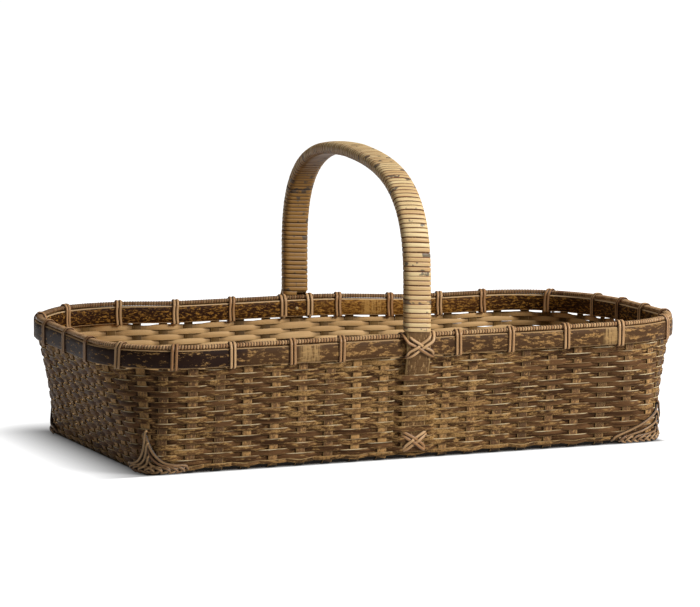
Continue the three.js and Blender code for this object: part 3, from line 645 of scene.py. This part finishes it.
def stake_path(index, number, cross, rng):
    """One split down a wall, over the floor and up the other wall: points, outward, and crown, which is 0
    low down near the floor where the skin gets painted shade.
    """
    normal = np.array((0.0, -1.0, 0.0) if cross else (1.0, 0.0, 0.0))
    keep = 1 - 2 * np.abs(normal)
    z = np.linspace(STAKE_TOP, FLOOR_MIDDLE + FOLD_RADIUS, WALL_STEPS)
    down, down_out = wall(index + drift(z, SWAY_LENGTH, STAKE_SWAY, rng.integers(1e6)), z)
    turn = np.linspace(0, math.pi / 2, FOLD_STEPS)[1:]
    below = np.outer(np.sin(turn), (0, 0, 1))
    foot = between(index, FLOOR_MIDDLE + FOLD_RADIUS)
    fold = foot - normal * FOLD_RADIUS * column(1 - np.cos(turn)) - FOLD_RADIUS * below
    fold_out = normal * column(np.cos(turn)) - below
    end = fold[-1]
    reach = abs(float(end @ normal))
    place = np.linspace(reach, -reach, int(reach / FLOOR_STEP))[1:-1]
    floor = end * (1 - np.abs(normal)) + np.outer(place, normal)
    met = crossings(cross)
    nearest = np.interp(floor[:, 1 if cross else 0], met, np.arange(len(met)))
    wave = np.cos(math.pi * (nearest + number)) * (1 if cross else -1)
    inside = ease(met[-1] + 8, met[-1], np.abs(place))
    floor[:, 2] = FLOOR_MIDDLE + FLOOR_WAVE * wave * inside - (1 - inside) * EDGE_DROP
    points, outward = np.concatenate([down, fold]), np.concatenate([down_out, fold_out])
    points = np.concatenate([points, floor, (points * keep)[::-1]])
    floor_out = np.tile((0.0, 0, -1), (len(floor), 1))
    outward = np.concatenate([outward, floor_out, (outward * keep)[::-1]])
    return points, outward, ease(1.2, 4.0, points[:, 2])


def add_stakes():
    rng = seeded(7)
    splits = [("cross", i, (i - BESIDE_LEG) % STAKES) for i in range(CROSS_STAKES)]
    splits += [("length", i, BESIDE_LEG + 1 + i) for i in range(LENGTH_STAKES)]
    for kind, number, index in splits:
        points, outward, seen = stake_path(index, number, kind == "cross", rng)
        width = STAKE_WIDTH * (1 + rng.uniform(-WIDTH_SPREAD, WIDTH_SPREAD))
        width = width + drift(np.arange(len(points)), 90, 0.2, rng.integers(1e6))
        node = f"{kind}_split_{number + 1:02d}"
        piece = Piece(f"{kind}_stake_{number + 1:02d}", STAKE_MATERIALS, (node,), "smoked_split")
        piece.strand(points, outward, width, STAKE_THICKNESS, *SPLIT, crown=seen).made()


# Woven rows

def weave_wave(k, row):
    """1 where a strip passes outside a stake, -1 where it passes inside one."""
    return np.cos(math.pi * (k + row))


def woven_offset(k, row, size):
    """How far a strip's middle stands off the stakes."""
    wave = weave_wave(k, row)
    return size * 1.5 * wave / (0.5 + np.abs(wave))


def from_leg(k, leg):
    """The distance between places round the wall and a leg, in mm."""
    return apart(k, leg, STAKES) * RIM_DISTANCES[1]


def leg_face(z):
    """How far the leg's inner face stands off the wall's middle at height z."""
    return LEG_FACE + (RIM_FACE - LEG_FACE) * ease(KNEE_LOW, BAND_LOW + 5, z)


def over_legs(k, row, z, offset):
    """Lifts a strip over the leg's width where it passes outside a leg."""
    for leg in LEGS:
        if (leg + row) % 2 or row > TOP_ROW_OVER_LEG:
            continue
        lifted = leg_face(z) + LEG_THICKNESS + STRIP_THICKNESS / 2 + 0.15
        clear = RIM_DISTANCES[1] - STAKE_WIDTH / 2 - 1
        beside = ease(CORE_WIDTH / 2 + 0.8, clear, from_leg(k, leg))
        offset = offset + (lifted - offset) * (1 - beside)
    return offset


def back_wall(k):
    """1 along the back wall and round its right corner, 0 elsewhere."""
    return ease(16, 18, k) * ease(41, 39, k)


def stands_out(k, row):
    """1 where a strip stands outside a stake, 0 where it dives behind one."""
    return 0.5 + 0.5 * weave_wave(k, row)


def beside_legs(k, row):
    """1 at a leg's edges on the strips that pass inside it, 0 elsewhere."""
    return sum(ease(18, 14, from_leg(k, leg)) * ((leg + row) % 2) for leg in LEGS)


def looseness(k, row, rng):
    """1 where a strip leaves a gap: the top one all along the back wall, the next ones at its right end."""
    top = row == ROWS - 1
    loose = ring_drift(k, *LOOSE_PLACES, rng.integers(1e6)) + (GAP_SHARE if top else -GAP_SHARE / 2)
    loose = np.clip(loose, 0, 1) * back_wall(k)
    if top:
        return loose
    return loose * ease(28, 26, k) * (row >= ROWS - LOOSE_ROWS)


def fills_to_band(k, row):
    """1 where the top strip reaches up behind the bands, at the back left corner."""
    return ease(38.5, 40, k) * ease(52, 49, k) * (row == ROWS - 1)


def add_rows():
    rng = seeded(19)
    k = np.arange(0, STAKES, 1 / STATIONS)
    for row in range(ROWS):
        share = (row + 0.5) / ROWS
        middle = FIRST_ROW + (row + 0.5) * ROW_PITCH
        z = middle + ring_drift(k, *ROW_SWAY, 5) * math.sin(math.pi * share)
        z = z + ring_drift(k, *ROW_UNEVEN, rng.integers(1e6))
        size = STRIP_WAVE + ring_drift(k, *WAVE_UNEVEN, rng.integers(1e6))
        wave = weave_wave(k, row)
        loose = looseness(k, row, rng)
        fill = TOP_FILL * fills_to_band(k, row)
        z += (fill - loose * BACK_GAP) / 2 - STRIP_BOW * wave
        points, outward = wall(k, z, over_legs(k, row, z, woven_offset(k, row, size)))
        width = ROW_PITCH + MIDDLE_LAP + STRIP_LAP * np.sqrt(np.abs(wave))
        width = width + ring_drift(k, *STRIP_UNEVEN, rng.integers(1e6))
        width += beside_legs(k, row) * LEG_LAP + fill - loose * BACK_GAP
        # the crown also places the strip skin's painted shade, deepened by SHADED_DEPTH at the shaded
        # corner
        crown = stands_out(k, row) - SHADED_DEPTH * ease(1.4, 0.4, np.abs(k - SHADED_CORNER))
        nearest = [n for n in range(CAD_ROWS) if round(n * (ROWS - 1) / (CAD_ROWS - 1)) == row]
        nodes = tuple(f"weft_row_{n + 1:02d}" for n in nearest)
        piece = Piece(f"woven_strip_{row + 1:02d}", STRIP_MATERIALS, nodes, "mottled_weft")
        piece.strand(points, outward, width, STRIP_THICKNESS, *SPLIT, True, crown=crown).made()


def add_foot():
    """The foot's twining: one strand low outside every second stake, its partner outside the others; and
    inside them, near the floor, a dark strand all in the stakes' painted shade, for the gap under the foot.
    """
    k = np.arange(0, STAKES, 1 / STATIONS)
    piece = Piece("foot_twist", FOOT_MATERIALS, ("foot_strand",), "mottled_weft")
    for lane, dip in ((0, FOOT_DIP), (1, 0.0)):
        z = (FOOT_LOW + FOOT_HIGH) / 2 - dip * np.maximum(weave_wave(k, lane), 0) ** 2
        z = z + ring_drift(k, *FOOT_UNEVEN, 77 + lane)
        points, outward = wall(k, z, woven_offset(k, lane, FOOT_WAVE))
        piece.strand(points, outward, FOOT_HIGH - FOOT_LOW, FOOT_THICKNESS, *SPLIT, True,
                     crown=stands_out(k, lane))
    piece.made()
    # a dark strand all in the stakes' painted shade (crown 0), put in to darken the gap under the foot
    ground = Piece("foot_shade_strand", (STAKE_SKIN, STAKE_INSIDE, STAKE_SKIN), (), "smoked_split")
    points, outward = wall(k, (GROUND_LOW + GROUND_HIGH) / 2, -GROUND_IN)
    ground.strand(points, outward, GROUND_HIGH - GROUND_LOW, 0.8, *SPLIT, True, crown=0.0)
    ground.made()


# Rim

def spot_mask(distance, spots):
    """1 at the middle of each spot along the rim, given as (middle, width), and 0 outside them."""
    away = [apart(distance, middle, RIM.round) / (width / 2) for middle, width in spots]
    return ease(1.15, 0.75, np.min(away, axis=0))


def worn_share(distance, wear):
    """How much of the smoke is worn off along the rim, from (distance, share) pairs."""
    places, shares = np.array(wear).T
    return np.interp(distance, places, shares, period=RIM.round)


def add_bands():
    distance = np.linspace(0, RIM.round, BAND_STATIONS, endpoint=False)
    turn = distance / RIM.round * STAKES
    bands = (("outer", 1, 3, BAND_SKIN, OUTER_SPOTS, OUTER_WEAR_AND_SHEEN),
             ("inner", -1, 4, INNER_BAND_SKIN, INNER_SPOTS, INNER_WEAR))
    for name, side, seed, skin, spots, wear in bands:
        z = BAND_MIDDLE + ring_drift(turn, *BAND_SWAY, seed)
        points, normal = rim_place(distance, side * BAND_MIDDLE_OUT, z)
        width = BAND_HIGH - BAND_LOW - 0.2 + ring_drift(turn, *BAND_UNEVEN, seed + 10)
        materials = (skin, BAND_INSIDE, BAND_EDGE)
        piece = Piece(f"rim_band_{name}", materials, (f"{name}_rim_band",), "dark_band")
        piece.strand(points, normal * side, width, BAND_THICKNESS, *SPLIT, True,
                     seed=seed, crown=worn_share(distance, wear), spot=spot_mask(distance, spots)).made()


def rounded_loop(half_width, half_height, radius, count):
    """Points of a rounded rectangle, evenly spaced, from the middle of its outer side, with normals."""
    line = Outline(2 * half_width, 2 * half_height, radius)
    return line.at(np.arange(count) / count * line.round)


def add_rod():
    distance = np.linspace(0, RIM.round, ROD_STATIONS, endpoint=False)
    high = ROD_TOP - ROD_LOW
    points, normal = rim_place(distance, 0, ROD_MIDDLE)
    rod = Piece("rim_rod", (CUT_EDGE,), (), "raw_split")
    rod.strand(points, normal, high - ROD_UNDER_WRAP, ROD_WIDTH - ROD_UNDER_WRAP, STRIP, ring=True).made()

    turns = round(RIM.round / BEAD_PITCH)
    loop, loop_normal = rounded_loop(ROD_WIDTH / 2 - 0.3, high / 2 - 0.3, 1.1, BEAD_STATIONS)
    step = np.arange(turns * BEAD_STATIONS)
    lane = step % BEAD_STATIONS
    distance = step / len(step) * RIM.round
    points, normal = rim_place(distance, loop[lane, 0], ROD_MIDDLE + loop[lane, 1])
    outward = normal * loop_normal[lane, :1] + np.outer(loop_normal[lane, 1], (0, 0, 1))
    wrap = Piece("rim_rod_wrap", (ROD_CANE,), ("rim_filler",), "pale_cane")
    wrap.strand(points, outward, BEAD_WIDTH, BEAD_THICKNESS, ring=True,
                seed=step // BEAD_STATIONS, crown=worn_share(distance, ROD_WEAR)).made()


def binding_loop():
    """The path of a binding across the rim, out and up, from the middle of its lower side."""
    low = BAND_LOW - CANE_THICKNESS / 2 - 0.15
    top = ROD_TOP + CANE_THICKNESS / 2 + 0.25
    shape = [(0, low), (CANE_OUT - 0.8, low), (CANE_OUT, low + 1.0), (CANE_OUT, BAND_LOW + 4),
             (CANE_OUT, BAND_HIGH - 1), (CANE_OUT - 0.4, BAND_HIGH + 1.2),
             (ROD_WIDTH / 2 + 0.3, ROD_TOP - 0.5), (1.6, top)]
    return np.array(shape + [(0, top + 0.1)] + [(-x, z) for x, z in shape[:0:-1]] + [(0, low)])


def add_bindings():
    rng = seeded(29)
    loop = binding_loop()
    path = spline(np.concatenate([loop, loop[1:]]), 5)
    travel = np.linspace(-1, 1, len(path)) * CANE_STEP
    away = path - (0, (BAND_LOW + ROD_TOP) / 2)
    up = path[:, 1] - BAND_LOW
    bow = 0.7 * np.sin(math.pi * up / (ROD_TOP - BAND_LOW)) * (path[:, 0] < 0)
    piece = Piece("rim_bindings", (BINDING_CANE,), ("rim_binding",), "pale_cane")
    for middle in BINDINGS:
        lean = rng.uniform(-0.5, 0.5)
        points, normal = rim_place(middle + travel + lean * up / 17 + bow, path[:, 0], path[:, 1])
        outward = normal * away[:, :1] + np.outer(away[:, 1] * 0.45, (0, 0, 1))
        piece.strand(points, unit(outward), CANE_WIDTH * rng.uniform(0.95, 1.03), CANE_THICKNESS)
    piece.made()


# Handle

def arch_line():
    """The arch's middle line from the front rim to the back one: length so far, y and z of its points."""
    t = np.linspace(0, 1, 3001)
    sine, cosine = np.sin(math.pi * t), np.cos(math.pi * t)
    top = HANDLE_TOP - WRAP_THICKNESS - WRAP_GAP - CORE_THICKNESS / 2
    power = 2 / (FAR_SHOULDER + (NEAR_SHOULDER - FAR_SHOULDER) * ease(0.7, 0.3, t))
    y = -ARCH_HALF * np.sign(cosine) * np.abs(cosine) ** power
    z = ARCH_SPRING + (top - ARCH_SPRING) * np.abs(sine) ** power
    sag = np.sin(math.pi * np.clip(-y / ARCH_HALF, 0, 1))
    z -= NEAR_SAG * sag * ease(ARCH_SPRING, ARCH_SPRING + 40, z)
    legs = np.linspace(WRAP_LOW, ARCH_SPRING, 200, endpoint=False)
    half = np.full(len(legs), ARCH_HALF)
    y = np.concatenate([-half, y, half])
    z = np.concatenate([legs, z, legs[::-1]])
    length = np.concatenate([[0], np.cumsum(np.hypot(np.diff(y), np.diff(z)))])
    return length, y, z


ARCH = arch_line()
ARCH_LENGTH = ARCH[0][-1]


def arch_at(distance):
    """The arch's middle and outward direction at distances from its front end."""
    length, y, z = ARCH

    def at(place):
        return np.stack([np.interp(place, length, v) for v in (y, z)], -1)

    yz = at(distance)
    ahead = unit(at(distance + 1.5) - at(distance - 1.5))
    centre = np.concatenate([HANDLE_TURN * yz[..., :1], yz], -1)
    outward = np.stack([np.zeros(len(ahead)), -ahead[:, 1], ahead[:, 0]], -1)
    return centre, outward


def leg_line(sign):
    """Middle, outward direction and thickness of a leg from its tip in the weave to the rim."""
    z = np.linspace(LEG_LOW, WRAP_LOW - 0.3, 44)
    wall_y = np.interp(z, [FLOOR_TOP, WEAVE_TOP], [RIM_WIDTH / 2 - SLOPE_CROSSWAYS, RIM_WIDTH / 2])
    thick = LEG_THICKNESS + (RIM_LEG_THICKNESS - LEG_THICKNESS) * ease(BAND_LOW - 8, BAND_HIGH, z)
    points = np.stack([np.full_like(z, LEG_SHIFT), sign * (wall_y + leg_face(z) + thick / 2), z], -1)
    return points, np.tile((0.0, sign, 0.0), (len(z), 1)), thick


def pared_arch():
    """The arch's middle line, its inner side pared away near the rim."""
    along = np.linspace(0, ARCH_LENGTH, 180)
    points, out = arch_at(along)
    from_end = np.minimum(along, ARCH_LENGTH - along)
    thick = RIM_LEG_THICKNESS + (CORE_THICKNESS - RIM_LEG_THICKNESS) * ease(0, 2.0, from_end)
    return points + out * column((CORE_THICKNESS - thick) / 2), out, thick


def add_handle():
    back = [part[::-1] for part in leg_line(1)]
    points, outward, thick = (np.concatenate(v) for v in zip(leg_line(-1), pared_arch(), back))
    core = Piece("handle_strip", (LEG_SKIN, BAND_INSIDE, CUT_EDGE), ("handle_core",), "smoked_core")
    core.strand(points, outward, CORE_WIDTH, thick, *SPLIT, crown=LEG_WEAR, spot=LEG_SPOT).made()

    turns = int(ARCH_LENGTH / WRAP_PITCH)
    around = (WRAP_GAP + WRAP_THICKNESS) / 2
    half_width, half_thick = CORE_WIDTH / 2 + around, CORE_THICKNESS / 2 + around
    loop, loop_normal = rounded_loop(half_width, half_thick, 2.6, WRAP_STATIONS)
    fall = np.where(loop[:, 1] > 0, WRAP_CROWN, WRAP_CROWN / 3) * (loop[:, 0] / half_width) ** 2
    loop[:, 1] *= 1 - fall / half_thick
    step = np.arange(turns * WRAP_STATIONS + 1)
    lane, turn = step % WRAP_STATIONS, step / WRAP_STATIONS
    along = (ARCH_LENGTH - turns * WRAP_PITCH) / 2 + turn * WRAP_PITCH
    along = along + drift(turn, 9, 0.2, 51) + drift(turn, 3.1, 0.16, 52)
    centre, out = arch_at(along)
    swell = 1 + drift(turn, 2.3, 0.006, 53)
    points = centre + np.outer(loop[lane, 0] * swell, (1, 0, 0)) + out * loop[lane, 1:] * column(swell)
    outward = np.outer(loop_normal[lane, 0], (1, 0, 0)) + out * loop_normal[lane, 1:]
    wrap = Piece("handle_winding", (HANDLE_CANE,), ("handle_wrap",), "straw_cane")
    wrap.strand(points, outward, WRAP_WIDTH, WRAP_THICKNESS, FLAT_CANE, seed=np.floor(turn),
                crown=0.5 + 0.5 * loop_normal[lane, 1]).made()


def leg_place(sign, points):
    """Points given as (along, out from the stakes' middle at the rim, z) on the front or back leg."""
    points = np.asarray(points, float)
    return np.stack([-sign * points[:, 0], sign * (RIM_WIDTH / 2 + points[:, 1]), points[:, 2]], -1)


def add_crosses(kind, lashings, path, moved, facing, thickness):
    """Two pairs of cane that cross over each leg. The path gives a cane's points by hand and shift."""
    for name, sign in LEG_SIDES:
        nodes = tuple(f"{lashing}_{name}" for lashing in lashings)
        piece = Piece(f"{kind}_cross_{name}", (BINDING_CANE,), nodes, "pale_cane")
        for hand in (1, -1):
            for lane in (1, -1):
                places = path(hand * lane, CROSS_SPACING / 2 * lane)
                curve = spline([(hand * x, y, z) for x, y, z in places], 6) + moved
                points = leg_place(sign, curve)
                outward = leg_place(sign, curve + facing(curve)) - points
                piece.strand(points, outward, CROSS_CANE, thickness)
        piece.made()


def add_rim_crosses():
    """The crosses that lash each leg to the rim, laid from inside the rim over it and back."""
    side = CORE_WIDTH / 2 + 1.6
    face = LEG_OUTER + CANE_THICKNESS / 2 + 0.15
    inner = -CANE_OUT
    top = ROD_TOP + CANE_THICKNESS / 2 + 0.2
    low = BAND_LOW - CANE_THICKNESS / 2 - 0.1
    middle = BAND_MIDDLE + 0.4

    def path(over, shift):
        left, near, raised = shift - side, shift * 0.7, 0.45 * over
        return [
            (left, inner + 0.3, low + 1.5), (left, inner, BAND_LOW + 5), (left, inner, BAND_HIGH - 1),
            (left, inner * 0.6, ROD_TOP - 0.3), (left, 0, top), (left + 0.4, 3.4, ROD_TOP - 0.2),
            (left + 1.6, face - 1.3, BAND_HIGH + 0.6 + shift * 0.5),
            (left + 3.4, face, BAND_HIGH - 1.6 + near),
            (near - 1.7, face + 0.35 + raised, middle + 1.2 + near),
            (near + 1.7, face + 0.35 - raised, middle - 1.2 + near),
            (side - 3.2 + near, face, BAND_LOW + 2.4 + shift * 0.9),
            (side - 0.8, face - 1.4, BAND_LOW + 0.4 + shift * 0.5), (side, 3.0, low),
            (side, 0, low), (side, inner + 0.6, low), (side, inner, low + 2),
        ]

    def facing(curve):
        return unit((curve - (0.0, 1.5, middle)) * (0, 1, 0.6))

    add_crosses("rim", ("leg_lashing",), path, (0, 0, 0), facing, CANE_THICKNESS)


def add_foot_crosses():
    """The small crosses of cane that tie each leg's tip to the foot, laid along listed points."""
    def path(over, shift):
        near, raised = shift * 0.7, 0.4 * over
        return [
            (-10.4, 0.6, 15.6 + shift), (-9.0, 3.0, 15.0 + shift), (-6.2, 4.3, 13.4 + shift),
            (-1.4 + shift * 0.6, 4.9 + raised, 10.6 + near), (1.4 + shift * 0.6, 4.9 - raised, 8.8 + near),
            (5.6 + shift * 0.5, 4.1, 5.6 + near), (7.6, 3.2, 3.9 + shift * 0.5),
            (8.3, 2.2, 2.6), (8.5, 0.2, 2.0),
        ]

    moved = (0, FOOT_CROSS_OUT - SLOPE_CROSSWAYS, FOOT_CROSS_RISE)
    add_crosses("foot", (), path, moved, lambda curve: (0, 1, 0), 0.9)


def add_pegs():
    low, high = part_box("leg_peg_front")
    z = (low.z + high.z) / 2 / MM
    ends = (-4.5, -4.3, -3.9, LEG_OUTER - 0.3, LEG_OUTER, LEG_OUTER + 0.15)
    radius = (0.7, 1.15, 1.4, 1.4, 1.15, 0.7)
    around = np.linspace(0, 2 * math.pi, 12, endpoint=False)
    disc = np.stack([np.cos(around), np.sin(around)], -1)
    for name, sign in LEG_SIDES:
        piece = Piece(f"leg_pin_{name}", (PALE_WOOD,), (f"leg_peg_{name}",), "raw_split")
        points = leg_place(sign, [(0, y, z) for y in ends])
        piece.strand(points, np.tile((0, 0, 1.0), (len(ends), 1)), radius, radius, disc).made()


# Corner lashings

def corner_place(corner, distance, z, out):
    """Points round a corner, at distances along the wall from its edge, and the outward normals."""
    flat_x, flat_y, radius = (foot + (rim - foot) * share_up(z) for foot, rim in (
        (FOOT.flat_x, RIM.flat_x), (FOOT.flat_y, RIM.flat_y), (FOOT.radius, RIM.radius)))
    bend = radius * math.pi / 4
    angle = math.pi / 4 + np.clip(distance, -bend, bend) / radius
    beyond = np.sign(distance) * np.maximum(0, np.abs(distance) - bend)
    x = flat_x + (radius + out) * np.sin(angle) - np.where(beyond < 0, -beyond, 0)
    y = flat_y + (radius + out) * np.cos(angle) - np.where(beyond > 0, beyond, 0)
    sign_x = 1 if corner in (0, 1) else -1
    sign_y = 1 if corner in (1, 2) else -1
    points = np.stack([sign_x * x, sign_y * y, z], -1)
    normal = np.stack([sign_x * np.sin(angle), sign_y * np.cos(angle), np.zeros_like(angle)], -1)
    return points, normal


def add_herringbone(piece, corner, reach, rng):
    """The braid along the foot: short canes in pairs that meet at a point away from the corner."""
    middle = (BRAID_LOW + BRAID_HIGH) / 2
    for hand in (1, -1):
        for tip in np.arange(BRAID_STEP / 2, reach * (END_REACH if hand > 0 else 1) + 1, BRAID_STEP):
            for side, end in ((1, BRAID_HIGH), (-1, BRAID_LOW)):
                lift = 0.25 * side + rng.uniform(-0.1, 0.1)
                half = (end - middle) * rng.uniform(0.9, 1.05)
                shape = [(tip + 0.5, middle - 1.5 * side, CORNER_OUT + 0.2),
                         (tip, middle - 0.2 * side, CORNER_OUT + 1.2 + lift),
                         (tip - BRAID_LEAN * 0.45, middle + half * 0.6, CORNER_OUT + 1.0 + lift),
                         (tip - BRAID_LEAN, middle + half, CORNER_OUT - 0.2)]
                curve = spline(shape, 5)
                points, normal = corner_place(corner, hand * curve[:, 0], curve[:, 1], curve[:, 2])
                piece.strand(points, normal, BRAID_CANE, 1.0)


def add_corner_lashings():
    """Nested chevrons of cane down each corner of the foot, and a braid round its lower edge."""
    straight = np.array([0.12, 0.35, 0.65])
    for corner, (name, (high, wide, hollow)) in enumerate(CORNERS.items()):
        rng = seeded(60 + corner)
        piece = Piece(f"corner_plait_{name}", (PLAIT_CANE,), (f"corner_lashing_{name}",), "pale_cane")
        for i in range(CORNER_STRANDS):
            share = 1 - i / CORNER_STRANDS
            for hand in (1, -1):
                apex = 3.5 + (high - 3.5) * share + hand + rng.uniform(-0.4, 0.4)
                reach = wide * (0.3 + 0.7 * share) * (END_REACH if hand > 0 else 1)
                reach += rng.uniform(-0.8, 0.8)
                low = 6.4 - 1.6 * (1 - share)
                fall = np.exp(-straight * 3.6 * hollow) * (1 - straight)
                shape = [(-1.9, apex + 1.6, CORNER_OUT - 0.4), (-0.3, apex + 0.1, CORNER_OUT + 0.5 * hand)]
                shape += [(reach * x, low + (apex - 2 - low) * y, CORNER_OUT + 0.2)
                          for x, y in zip(straight, fall)]
                shape += [(reach, low, CORNER_OUT + 0.2), (reach + 2.2, low - 2.2, CORNER_OUT - 0.3),
                          (reach + 2.9, low - 3.4, CORNER_OUT - 1.8)]
                curve = spline(shape, 6)
                z = np.maximum(curve[:, 1], 1.2)
                points, normal = corner_place(corner, hand * curve[:, 0], z, curve[:, 2])
                piece.strand(points, normal, CORNER_CANE * rng.uniform(0.92, 1.08), CORNER_THICKNESS)
        add_herringbone(piece, corner, wide, rng)
        piece.made()


# Stage, light and camera

def add_stage():
    """A pale floor with painted light: the camera sees it glow, at full strength from just inside the foot
    on the front and right, which paints out the shadows there, and on the left and back rising slowly from
    the foot, which paints the falloff of the shadow there; and a white room.
    """
    s = Shading("pale_floor", 0.9, 0.0)
    ray = s.tree.nodes.new("ShaderNodeLightPath").outputs
    seen = s.math("MAXIMUM", ray["Is Camera Ray"], ray["Is Glossy Ray"])
    seen = s.math("MAXIMUM", seen, ray["Is Transmission Ray"])
    x, y, _ = s.parts(s.node("ShaderNodeTexCoord", "Object"))
    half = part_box("foot_strand")[1]
    squares = []
    for place, reach, lit_side in ((x, half.x, 1.0), (y, half.y, -1.0)):
        lit, shaded = (s.scaled(place, sign, GLOW_START - reach) for sign in (lit_side, -lit_side))
        side = s.math("MAXIMUM", s.math("MAXIMUM", s.times(lit, LIT_SIDES), shaded), 0.0)
        squares.append(s.times(side, side))
    beyond = s.math("SQRT", s.plus(*squares))
    # painted light: the glow grows with distance from the foot, LIT_SIDES times faster on the front and
    # right, and paints the shadow's falloff on the left and back
    far = s.node("ShaderNodeMapRange", 0, {0: beyond, 1: 0.0, 2: GLOW_REACH, 3: GLOW_AT_FOOT, 4: 1.0})
    glow = s.times(s.math("GREATER_THAN", beyond, 0.0), far)
    s.put(s.sockets["Emission Strength"], s.times(seen, glow))
    s.put(s.sockets["Emission Color"], "ffffff")
    s.put(s.sockets["Base Color"], (FLOOR_COLOUR,) * 3 + (1,))
    bpy.ops.mesh.primitive_plane_add(size=FLOOR_SIZE, location=(0, 0, 0))
    floor = bpy.context.object
    floor.name = "floor"
    floor.data.materials.append(s.material)

    world = bpy.data.worlds.new("pale_room")
    bpy.context.scene.world = world
    world.use_nodes = True
    room = Nodes(world.node_tree)
    seen = room.node("ShaderNodeLightPath", "Is Camera Ray")
    sockets = room.tree.nodes["Background"].inputs
    room.put(sockets["Strength"], room.scaled(seen, 1 - ROOM_LIGHT, ROOM_LIGHT))
    room.put(sockets["Color"], "ffffff")


def add_light(name, place, size, power):
    data = bpy.data.lights.new(name, "AREA")
    data.shape, data.size, data.energy = "DISK", size, power
    lamp = placed(name, data)
    lamp.location = place
    lamp.rotation_euler = (LIT_PLACE - Vector(place)).to_track_quat("-Z", "Y").to_euler()


def add_camera():
    azimuth, elevation = math.radians(AZIMUTH), math.radians(ELEVATION)
    flat = math.cos(elevation)
    back = Vector((math.sin(azimuth) * flat, -math.cos(azimuth) * flat, math.sin(elevation)))
    right = Vector((math.cos(azimuth), math.sin(azimuth), 0))
    up = back.cross(right)
    aim = Vector((0, 0, AIM_HEIGHT)) + right * AIM_RIGHT + up * AIM_UP
    data = bpy.data.cameras.new("view")
    data.sensor_width, data.lens = 36.0, CAMERA_LENS
    data.clip_start, data.clip_end = 0.1, 20
    camera = placed("view", data)
    camera.location = aim + back * CAMERA_DISTANCE
    camera.rotation_euler = back.to_track_quat("Z", "Y").to_euler()
    bpy.context.scene.camera = camera


add_stakes()
add_rows()
add_foot()
add_bands()
add_rod()
add_bindings()
add_handle()
add_rim_crosses()
add_foot_crosses()
add_pegs()
add_corner_lashings()

add_stage()
for light in LIGHTS:
    add_light(*light)
add_camera()
bpy.context.scene.view_settings.view_transform = "Standard"
